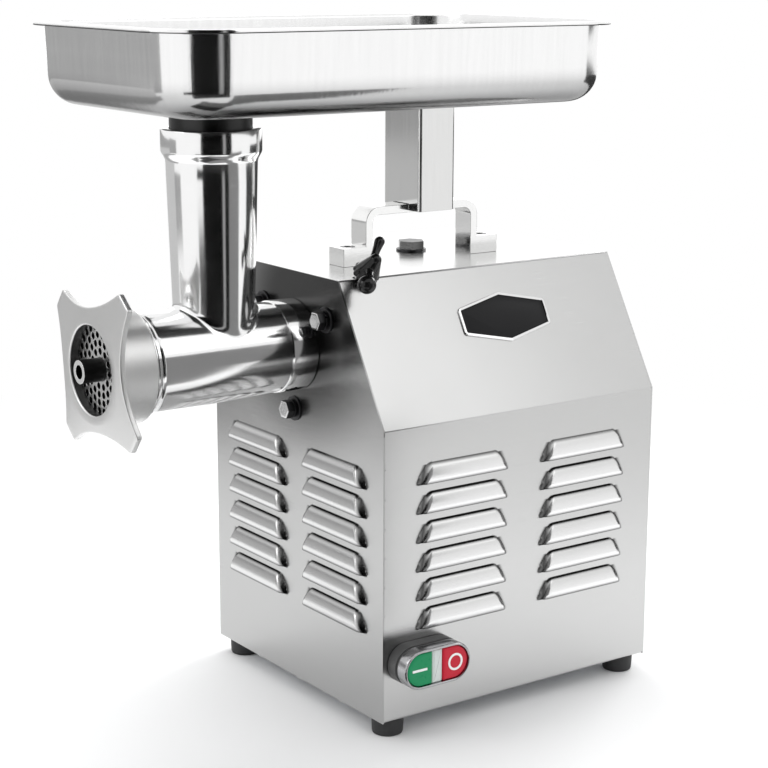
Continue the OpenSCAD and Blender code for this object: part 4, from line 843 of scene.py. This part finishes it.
def cap_outline(side, shrink):
    """Outline of one button: a half slot beside the lens, drawn in evenly."""
    r = switch_h / 2 - ring_in - shrink
    middle = (switch_l - switch_h) / 2
    flat = lens_w / 2 + cap_gap + shrink
    half_round = [(middle + r * math.cos(math.radians(a)), r * math.sin(math.radians(a)))
                  for a in range(-90, 91, 9)]
    outline = softened([(flat, -r)] + half_round + [(flat, r)], 0.9 if shrink < 0.1 else 0.5, 3)
    return [(side * u, v) for u, v in outline]


def button(name, side):
    """A crowned button cap whose stem reaches the contacts."""
    return stacked(name, [(cap_outline(side, d), h) for d, h in (
        (0.0, 9.3), (0.0, 20.6), (0.12, 21.2), (0.5, 21.7), (1.3, 21.95), (4.5, 21.75),
        (7.5, 21.6))], on_front)


def plastic(name, colour, rough, specular=0.3):
    """Glossy moulded plastic with a faint cloud in its colour."""
    return metal(name, colour, rough, 30, 16, bump=0.08, spread=0.05, metallic=0.0,
                 specular=specular)


def mark(name, side, *edges):
    """A thin printed switch symbol that stands just proud of its button: a bar or a ring."""
    middle, low, high = 16.2, 21.5, 22.05
    outer, inner = ([(side * middle + u, v) for u, v in edge] for edge in (edges[0], edges[-1]))
    if len(edges) == 1:
        return stacked(name, [(outer, low), (outer, high)], on_front)
    return stacked(name, [(outer, low), (outer, high), (inner, high), (inner, low), (outer, low)],
                   on_front, caps=False)


green = plastic("start_green", (0.002, 0.24, 0.09), 0.30)
red = plastic("stop_red", (0.52, 0.010, 0.030), 0.30)
marking = plastic("marking_white", 0.85, 0.35)
start_cap = button("start_cap", -1)
stop_cap = button("stop_cap", 1)
fit_out(smooth_by(start_cap), "start_key", green, "start_green", "start_button")
fit_out(smooth_by(stop_cap), "stop_key", red, "stop_red", "stop_button")
start_mark = mark("start_mark", -1, oblong(13.2, 1.8, 0.3, 3))
stop_mark = mark("stop_mark", 1, circle(6.6, 40), circle(4.9, 40))
fit_out(smooth_by(start_mark), "start_key", marking, "white_plastic")
fit_out(smooth_by(stop_mark), "stop_key", marking, "white_plastic")

clear = plastic("pilot_clear", (0.62, 0.66, 0.64), 0.25)
lens = stacked("pilot_window", [(shrunk(oblong(lens_w, lens_h, r, 3), by), h) for r, by, h in (
    (0.4, 0, 12.9), (0.4, 0, 20.6), (0.8, 0.5, 21.3), (1.2, 1.5, 21.6))], on_front)
fit_out(smooth_by(lens), "machine", clear, "pilot_clear", "pilot_lens")

# ---- Hub bolts and washers -------------------------------------------------
# Three hex bolts in a ring round the head's socket, each with a spring washer
# and a flat washer. They screw into the cast-iron hub behind the left sheet.


def ring_tree():
    """Sets one piece out round the auger's axis, turned with its place."""
    tree, start = new_group(
        "Set out in a ring", "Pieces", Geometry=("Blank",), Object=("Piece",), Float=("Radius",),
        Int=("Count",), Vector=("Turn", "Centre"), Material=("Finish",))
    circle_of = add(tree, "GeometryNodeMeshCircle", {
        "Radius": start["Radius"], "Vertices": start["Count"]})
    aim = add(tree, "GeometryNodeTransform", {
        "Geometry": repeated(tree, start, circle_of), "Rotation": start["Turn"],
        "Translation": start["Centre"]})
    return end_group(tree, aim, start["Finish"])


def hexagon(flats):
    """A six-sided outline with rounded corners."""
    reach = flats / math.sqrt(3)
    return softened([(reach * math.cos(math.radians(60 * k + 30)),
                      reach * math.sin(math.radians(60 * k + 30))) for k in range(6)], 0.5, 3)


around = ring_tree()
three_way = {"radius": 50 * mm, "count": 3, "turn": (math.pi, math.pi / 2, 0.0),
             "centre": hub_axis}
shank = [(circle(r, 24), h) for r, h in ((3.4, -13), (4.0, -12.4), (4.0, 3.9))]
bolt = stacked("bolt", shank + [(hexagon(flats), h) for flats, h in (
    (11.6, 3.85), (13, 4.4), (13, 9.3), (12.3, 9.95), (11, 10.28), (9.4, 10.3),
    (8.8, 10.0))], plain)
flat_washer = turned("washer", [
    (4.1, 0.0), (9.3, 0.0), (9.5, 0.25), (9.5, 1.3), (9.2, 1.6), (4.1, 1.6), (4.1, 0.0)], 40)
darker = metal("washer_steel", (0.06, 0.06, 0.062), 0.34, 60, 30, bump=0.2, tone=0.15)
bolts = set_out("hub_bolt_set", around, bolt, darker, **three_way)
fit_out(smooth_by(bolts), "machine", darker, "fastener_steel", "hub_bolts")
repaint(bolts, turned_steel, lambda c, n: n.x < -0.6)
washers = set_out("hub_washer_set", around, flat_washer, darker, **three_way)
fit_out(smooth_by(washers), "machine", darker, "fastener_steel", "hub_washers")


def refine(node, name, width, limit=30):
    """A copy of a CAD piece with its edges rolled over: doubles merged, flat faces joined."""
    source = frame["nodes"][node]
    made = stand(name, source.data.copy())
    made.data.transform(source.matrix_world)
    made.data.materials.clear()
    work = bmesh.new()
    work.from_mesh(made.data)
    bmesh.ops.remove_doubles(work, verts=work.verts, dist=2e-6)
    bmesh.ops.dissolve_limit(work, angle_limit=math.radians(0.2), verts=work.verts,
                             edges=work.edges)
    for edge in work.edges:
        edge.smooth = True
    work.to_mesh(made.data)
    work.free()
    return rolled(made, width, limit)


springs = refine("spring_washers", "spring_washer_set", 0.3 * mm)
fit_out(springs, "machine", darker, "fastener_steel", "spring_washers")
iron = metal("cast_iron", (0.09, 0.09, 0.095), 0.55, 40, 30, bump=0.8, tone=0.2, spread=0.1)
finish_node("head_hub", iron)

# ---- Cord gland ------------------------------------------------------------
# A moulded black nylon gland low in the back sheet, where the mains cord comes in.
# It is screwed through its hole and held by a nylon nut inside.

black_nylon = metal("black_plastic", (0.016, 0.016, 0.017), 0.40, 50, 40, bump=0.3,
                    tone=0.2, spread=0.08, metallic=0.0)
gland = refine("cord_gland", "cord_gland_body", 0.4 * mm)
gland_nut = refine("gland_nut", "cord_gland_nut", 0.4 * mm)
fit_out(gland, "machine", black_nylon, "black_plastic", "cord_gland")
fit_out(gland_nut, "machine", black_nylon, "black_plastic", "gland_nut")

# ---- Carry handle, its screws and the top plug -----------------------------
# A polished cast loop screwed down through the top sheet into a stiffener bar,
# with a hex oil plug in front of the post. The screws and the plug are blackened.

handle = refine("carry_handle", "carry_handle_loop", 1.3 * mm, limit=25)
handle_metal = metal("handle_cast", (0.93, 0.93, 0.925), 0.16, 30, 12, bump=0.12, tone=0.03)
fit_out(handle, "machine", handle_metal, "polished_steel", "carry_handle")
handle_screws = refine("handle_screws", "handle_screw_pair", 0.3 * mm)
fit_out(handle_screws, "machine", darker, "fastener_steel", "handle_screws")
plug = refine("top_plug", "top_plug_head", 0.5 * mm)
fit_out(plug, "machine", darker, "fastener_steel", "top_plug")
blackened = metal("plug_steel", 0.20, 0.25, 30, 30, bump=0.2)
repaint(plug, blackened, lambda c, n: abs(n.z) < 0.5 and c.z > body_top + 1.7 * mm)
finish_node("top_stiffener", zinc)

# ---- Locking knob ----------------------------------------------------------
# A moulded black grip with a fluted bell and two rounded arms, fixed on the end
# of the steel screw that holds the head in its hub.

knob_at = screw_at + screw_along * (math.hypot(56, 58.3) + 14.7) * mm
wing_turn = math.radians(53)
side_a = Vector((1, 0, 0))
side_b = screw_along.cross(side_a)
arm_along = side_a * math.cos(wing_turn) + side_b * math.sin(wing_turn)
arm_across = screw_along.cross(arm_along)


def bead(out, along, across, radius):
    """A ball on the knob, in mm: along the screw, along the arms, across them, and its radius."""
    return (knob_at + screw_along * out * mm + arm_along * along * mm + arm_across * across * mm,
            radius * mm)


def blended(name, balls):
    """One closed skin drawn round many overlapping balls and then smoothed."""
    made = piece(name, [], [], outwards=False)
    work = bmesh.new()
    for centre, radius in balls:
        bmesh.ops.create_icosphere(work, subdivisions=3, radius=radius,
                                   matrix=Matrix.Translation(centre))
    work.to_mesh(made.data)
    work.free()
    shaped(made, "REMESH", mode="VOXEL", voxel_size=0.55 * mm)
    return smooth(shaped(made, "SMOOTH", factor=0.6, iterations=6))


core = [bead(-6.5 + 14.5 * k / 13, 0, 0, (9.2 - 4.6 * k / 13) * (0.55 if k == 0 else 1))
        for k in range(14)]
flutes = []
for flute in range(12):
    angle = 2 * math.pi * flute / 12
    for k in range(9):
        share = k / 8
        reach = 8.2 - 4.0 * share
        flutes.append(bead(-8.4 + 12 * share, reach * math.cos(angle), reach * math.sin(angle),
                           2.4 - 0.7 * share))
arms = []
for side, rise_by, end_r in ((1, 5.5, 4.0), (-1, 1.0, 7.0)):
    for k in range(21):
        share = k / 20
        swell = 4.2 - 1.2 * math.sin(math.pi * share) + (end_r - 4.2) * share ** 2.5
        arms.append(bead(1.0 + rise_by * share ** 1.6, side * 20.5 * share, 0, swell))
knob = blended("locking_knob_grip", core + flutes + arms)
knob_black = plastic("knob_black", 0.006, 0.14, specular=0.35)
fit_out(knob, "clamp_knob", knob_black, "black_plastic", "locking_knob")
finish_node("locking_screw", turned_steel)

# ---- Grinding head ---------------------------------------------------------
# A polished stainless casting: a tapered barrel with a threaded front, a collar
# that seats against the hub, a spigot inside the hub and an upright throat.


def about_auger(u, v, w):
    """Lays a turned piece on the auger's axis, its top towards the front of the head."""
    return hub_axis + Vector((-w, v, u)) * mm


thread = []
for k in range(14):
    start = 135 + k * 1.75
    thread += [(38.95, start), (38.95, start + 0.6), (38.0, start + 1.0), (38.0, start + 1.5)]
barrel = turned("head_barrel", [
    (15.2, -34), (25, -34), (25, 0.3), (34.6, 0.3), (35, 0.7), (35, 21.2), (34.7, 21.9),
    (34.1, 22.6), (34.05, 24), (34.4, 34), (35.2, 56), (36.2, 84), (37.2, 110), (37.9, 128),
    (38, 130), (38, 131.4), (37.7, 132), (36.8, 132.1), (36.8, 133.9), (38.6, 134.6), *thread,
    (38.6, 159.6), (35.2, 159.7), (35.1, 159), (35.1, 147.7), (31, 147.5), (31, 24), (15.2, 24),
    (15.2, -34)], 128, about_auger)
throat_out = 69.5
throat_at = at(-throat_out, 117.5, 267)
pierced(barrel, rod(throat_at + Vector((0, 0, 5 * mm)), throat_at + Vector((0, 0, 45 * mm)),
                    26 * mm, 96))


def barrel_r(d):
    """Outer radius of the barrel at a distance in front of the body, in mm."""
    return 34 + 4 * (d - 24) / 106


def throat_column(c, s):
    """Heights of the throat in one direction: fillet, wall, lip and bore, in mm."""
    wall_r, wall_top_r, bore_r, fillet = 30.1, 33.2, 26.0, 5.5

    def barrel_top(reach):
        """Height of the barrel's skin at a distance from the throat's middle."""
        r = barrel_r(throat_out - reach * c)
        return math.sqrt(max(0.0, r * r - (reach * s) ** 2))

    meet = barrel_top(wall_r)
    lean = (meet - barrel_top(wall_r + 0.5)) / 0.5
    reach_end = wall_r + fillet / math.sqrt(1 + lean * lean)
    if reach_end > wall_top_r and abs(s) > 0.9:
        reach_end = min(reach_end, wall_r + 0.75 * (barrel_r(throat_out) - wall_r) + 0.6)
    p0 = Vector((wall_r + 0.2, meet + fillet))
    p1 = Vector((wall_r, meet))
    p2 = Vector((reach_end, barrel_top(reach_end) - 0.04))
    column = [(bore_r, barrel_top(bore_r) - 2.5), (reach_end - 0.5, p2.y - 2.0), (p2.x, p2.y)]
    for t in range(1, 9):
        u = 1 - t / 8
        column.append(tuple(p0 * (1 - u) ** 2 + p1 * 2 * u * (1 - u) + p2 * u * u))
    for t in range(1, 9):
        share = t / 8
        column.append((wall_r + 0.2 + (wall_top_r - wall_r) * share,
                       p0.y + (142.4 - p0.y) * share))
    return column + [
        (34.0, 144.4), (35.2, 146.6), (36.2, 148.4), (36.6, 149.6), (36.7, 150.4), (36.7, 165.0),
        (36.4, 165.7), (35.7, 166.0), (30.9, 166.0), (30.4, 165.6), (30.3, 165.0), (30.3, 146),
        (bore_r, 146), (bore_r, 60.0)]


def round_wall(name, columns, column_at, place):
    """A closed ring-shaped piece from one closed column of points in each direction."""
    walls = [column_at(2 * math.pi * k / columns) for k in range(columns)]
    verts = [place(*point) for wall in walls for point in wall]
    return piece(name, verts, turned_over(woven(columns, len(walls[0]), True, True)))


def throat_wall(angle):
    """The throat's column at an angle, as points from its foot's middle in mm."""
    c, s = math.cos(angle), math.sin(angle)
    return [(r * c, r * s, h) for r, h in throat_column(c, s)]


polished = metal("satin_cast", 0.92, 0.125, 3, 26, bump=0.05, tone=0.02, spread=0.03)
throat = round_wall("head_throat", 128, throat_wall, plane_at(throat_at))
fit_out(smooth_by(barrel), "grinding_head", polished, "satin_cast", "head_casting")
fit_out(smooth_by(throat), "grinding_head", polished, "satin_cast")
bronze = metal("bronze", (0.52, 0.33, 0.12), 0.35, 40, 20, bump=0.2, tone=0.1)
finish_node("neck_bush", bronze)

# ---- Ring nut --------------------------------------------------------------
# A cast nut with four ears that lean back from a flat ring; its skirt is
# threaded inside and holds the perforated plate in the head.


def ear_radius(angle):
    """Outline of the eared ring: four broad ears with hollow sides between them, in mm."""
    local = (angle + math.pi / 4) % (math.pi / 2) - math.pi / 4
    end = 70.5 / math.cos(local)
    gap = math.pi / 4 - abs(local)
    centre_d, cut_r = 138.9, 93.9
    inside = cut_r ** 2 - (centre_d * math.sin(gap)) ** 2
    side = centre_d * math.cos(gap) - math.sqrt(inside) if inside > 0 else 200
    return -math.log(math.exp(-0.9 * (end - 60)) + math.exp(-0.9 * (side - 60))) / 0.9 + 60


def lean(r):
    """How far the ears lean back at a radius, in mm."""
    return 5 * max(0.0, r - 38.5) / 34


def nut_wall(angle):
    """The nut's column at an angle: thread, front, ear and skirt, from its front in mm."""
    tip = ear_radius(angle)
    c, s = math.cos(angle + math.radians(51)), math.sin(angle + math.radians(51))
    front = [(38.5 + (tip - 39.3) * share, 0) for share in (0.2, 0.4, 0.6, 0.8, 0.92)]
    rear = [(42.8 + (tip - 43.6) * share, 4.1) for share in (0.7, 0.35)]
    face = lean(tip)
    column = [
        (39.3, 33), (39.3, 8), (32.5, 8), (32.5, 1.2), (32.65, 0.6), (33.1, 0.15), (33.8, 0),
        (38.5, 0), *[(r, lean(r) + d) for r, d in front + [(tip - 0.8, 0)]],
        (tip - 0.35, face + 0.1), (tip - 0.08, face + 0.4), (tip, face + 0.8), (tip, face + 3.2),
        (tip - 0.08, face + 3.6), (tip - 0.35, face + 3.85), (tip - 0.8, face + 4.0),
        *[(r, lean(r) + d) for r, d in rear], (42.9, 5.1), (42.2, 5.5), (41.8, 6.2), (41.7, 7),
        (41.7, 31.6), (41.5, 32.4), (41.0, 32.9), (40.2, 33)]
    return [(d - 171, r * c, -r * s) for r, d in column]


nut_metal = metal("nut_satin", (0.72, 0.72, 0.715), 0.34, (160, 190, 190), 14, bump=0.5,
                  tone=0.09, spread=0.08)
nut = round_wall("eared_ring_nut", 576, nut_wall, plane_at(hub_axis))
fit_out(smooth_by(nut, 40), "nut", nut_metal, "satin_cast", "ring_nut")
# Painted shade: dark inside the nut's bore and on the walls of the plate's holes.
recess_shade = metal("machined_bore", 0.10, 0.35, 40, 20, bump=0.2, tone=0.2)
repaint(nut, recess_shade, lambda c, n: c.x > hub_axis.x - 170 * mm
        and math.hypot(c.y - hub_axis.y, c.z - hub_axis.z) < 33 * mm)

# ---- Perforated plate, knife, auger and stud -------------------------------
# Hardened plate with rings of holes, held from turning by a pin; the knife sits
# on the square of the stud that is screwed into the end of the auger.

plate_steel = metal("plate_steel", (0.66, 0.66, 0.655), 0.28, 30, 30)
plate = refine("perforated_plate", "grinding_plate", 0.3 * mm, limit=40)
fit_out(plate, "grinding_head", plate_steel, "satin_steel", "perforated_plate")
# Painted shade on the walls of the plate's holes.
repaint(plate, recess_shade, lambda c, n: abs(n.x) < 0.3)
finish_node("plate_pin", turned_steel)
finish_node("knife", bright)
finish_node("auger", polished)
stud_steel = metal("stud_steel", 0.035, 0.35, 60, 30, tone=0.1)
stud = refine("auger_stud", "auger_end_stud", 0.5 * mm)
stud_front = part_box("auger_stud")[0][0]
fit_out(stud, "feed_screw", stud_steel, "polished_steel", "auger_stud")
repaint(stud, handle_metal, lambda c, n: n.x < -0.2 and c.x < stud_front + 1 * mm)

# ---- Feed pan --------------------------------------------------------------
# One drawn stainless pan with a narrow turned rim and a spout welded through its
# floor, which drops into the throat. The square post under it is welded on. The
# pan's outside is painted darker towards its bottom, and its underside, spout and
# the underside of its rim are painted dark, all as painted shade.

pan_at = at(31, 117.5, 447)
spout_x = -100.5
corner_x, corner_y, corner_r = 147.0, 73.0, 18.5


def arc_of(centre, radius, first, last, steps):
    """Points on an arc between two angles in degrees."""
    angles = [math.radians(first + (last - first) * k / steps) for k in range(steps + 1)]
    return [(centre[0] + radius * math.cos(a), centre[1] + radius * math.sin(a)) for a in angles]


def pan_loop(out):
    """A round-cornered outline at a distance outside the floor's flat part."""
    ring = []
    for sx, sy, first in ((1, 1, 0), (-1, 1, 90), (-1, -1, 180), (1, -1, 270)):
        ring += arc_of((sx * corner_x, sy * corner_y), corner_r + out, first, first + 90, 14)
    full = []
    for a, b in zip(ring, ring[1:] + ring[:1]):
        long = max(1, int(math.dist(a, b) / 16))
        full += [(a[0] + (b[0] - a[0]) * t / long, a[1] + (b[1] - a[1]) * t / long)
                 for t in range(long)]
    return full


def round_spout(radius, share=0.0):
    """A circle about the spout, or a floor outline part of the way out to the floor's edge."""
    ring = []
    for x, y in pan_loop(0):
        away = Vector((x - spout_x, y)).normalized() * radius
        ring.append((spout_x + away.x + (x - spout_x - away.x) * share,
                     away.y + (y - away.y) * share))
    return ring


outside = arc_of((0, 22), 22, -90, -3.5, 12) + [(22.6, 40)] + arc_of((25.8, 56.3), 2.5, 176, 90, 6)
rim_edge = [(30.2, 58.8), (30.45, 58.2), (30.55, 57.5), (30.9, 57.15), (31.3, 57.3),
            (31.5, 57.9), (31.5, 59.2), (31.25, 59.8), (30.7, 60)]
inside = arc_of((24.9, 57.2), 2.8, 90, 176, 6) + [(21.4, 40)] + arc_of((0, 22), 20.8, -3.5, -90, 12)
spout_out = [(28.8, -33.7), (30, -33.7)] + arc_of((34, -4), 4, 180, 90, 6)
spout_in = arc_of((33.8, -3.8), 5, 90, 180, 6) + [(28.8, -33.7)]
floor_ring, floor_t = 34, 1.2
loops = [(round_spout(r), h) for r, h in spout_out]
loops += [(round_spout(floor_ring, share), 0) for share in (0.3, 0.65)]
loops += [(pan_loop(out), h) for out, h in outside + rim_edge + inside]
loops += [(round_spout(floor_ring, share), floor_t) for share in (0.65, 0.3)]
loops += [(round_spout(r), h) for r, h in spout_in]
pan = stacked("feed_pan_shell", loops, plane_at(pan_at), caps=False)
pan_steel = metal("pan_polished", 0.93, 0.15, (45, 45, 1.2), 6, bump=0.35, tone=0.05, spread=0.04)
tree = pan_steel.node_tree
parts = add(tree, "ShaderNodeSeparateXYZ", {0: whereabouts(tree)})
# Painted shade: the pan's outside goes dark towards its bottom.
shaded(pan_steel, parts.outputs["Z"], pan_at.z - 2 * mm, pan_at.z + 28 * mm, 0.05)
inner_steel = metal("pan_inner", 0.86, 0.20, (45, 45, 1.2), 6, tone=0.05)
# Painted shade: dark under the floor, on the spout and under the rim.
under = metal("pan_underside", 0.05, 0.34, 60, 20, tone=0.1)
fit_out(smooth_by(pan), "pan", pan_steel, "polished_steel", "feed_pan")


def pan_below(centre, normal):
    """Whether a face of the pan is under its floor, on its spout or under its rim, where shade is
    painted.
    """
    floor_under = centre.z < pan_at.z + 1.1 * mm and (
        normal.z < -0.5 or centre.z < pan_at.z - 1 * mm)
    return floor_under or (normal.z < -0.2 and centre.z > pan_at.z + 56 * mm)


def pan_within(centre, normal):
    """Whether a face of the pan looks up or inwards."""
    towards = normal.x * (centre.x - pan_at.x) + normal.y * (centre.y - pan_at.y)
    return normal.z > 0.5 or (centre.z > pan_at.z and towards < 0)


repaint(pan, under, pan_below)
repaint(pan, inner_steel, pan_within)

post_h = 85
on_post = plane_at(at(116, 117.5, 362))
outer_post, inner_post = oblong(34, 47.5, 3), oblong(31, 44.5, 1.5)
post = stacked("post_tube", [(outer_post, 0), (outer_post, post_h), (inner_post, post_h),
                             (inner_post, 0), (outer_post, 0)], on_post, caps=False)
pierced(post, stacked("notch", [(oblong(80, 20.6, 1.5), h) for h in (-2, 5.3)], on_post))
post_steel = metal("post_brushed", (0.76, 0.76, 0.755), 0.12, (170, 170, 3), 7, tone=0.05,
                   spread=0.05)
fit_out(rolled(post, 0.3 * mm), "pan", post_steel, "satin_steel", "support_post")

# ---- Gearbox, motor and electrical parts inside ----------------------------
# Cast housing and cover, hardened gears on ground shafts in ball bearings, and a
# wound motor with its shell, fan, saddle and start capacitor.

cast = metal("cast_metal", (0.42, 0.43, 0.44), 0.48, 40, 30, bump=0.7, tone=0.08, spread=0.1)
ground = metal("bearing_steel", 0.62, 0.16, 60, 30, bump=0.1, tone=0.04)
hobbed = metal("gear_steel", (0.40, 0.40, 0.41), 0.30, 80, 30, bump=0.25, tone=0.08)
seal = metal("seal_rubber", 0.03, 0.55, 40, 30, bump=0.3, tone=0.2, metallic=0.0)
stack = metal("lamination", (0.22, 0.22, 0.23), 0.45, (900, 2, 2), 2, bump=0.6, tone=0.25,
              spread=0.1)
copper = metal("copper_winding", (0.50, 0.20, 0.08), 0.30, (260, 40, 40), 6, bump=0.8, tone=0.25)
shell = metal("motor_shell", (0.50, 0.51, 0.53), 0.34, 20, 20, bump=0.2)
white_can = metal("white_plastic", (0.75, 0.75, 0.73), 0.38, 30, 30, tone=0.03, metallic=0.0)
for finish, names in (
        (cast, ("gearbox_housing", "gearbox_cover", "motor_end_cover")),
        (ground, ("output_bearings", "middle_bearings", "motor_bearings", "output_shaft",
                  "middle_shaft", "rotor_shaft")),
        (hobbed, ("output_gear", "middle_gear")), (seal, ("oil_seal",)),
        (stack, ("rotor_core", "motor_stator")), (copper, ("motor_windings",)),
        (shell, ("motor_shell",)), (black_nylon, ("motor_fan",)),
        (zinc, ("motor_bracket", "capacitor_clip")), (turned_steel, ("gearbox_screws",)),
        (white_can, ("capacitor",))):
    for name in names:
        finish_node(name, finish)
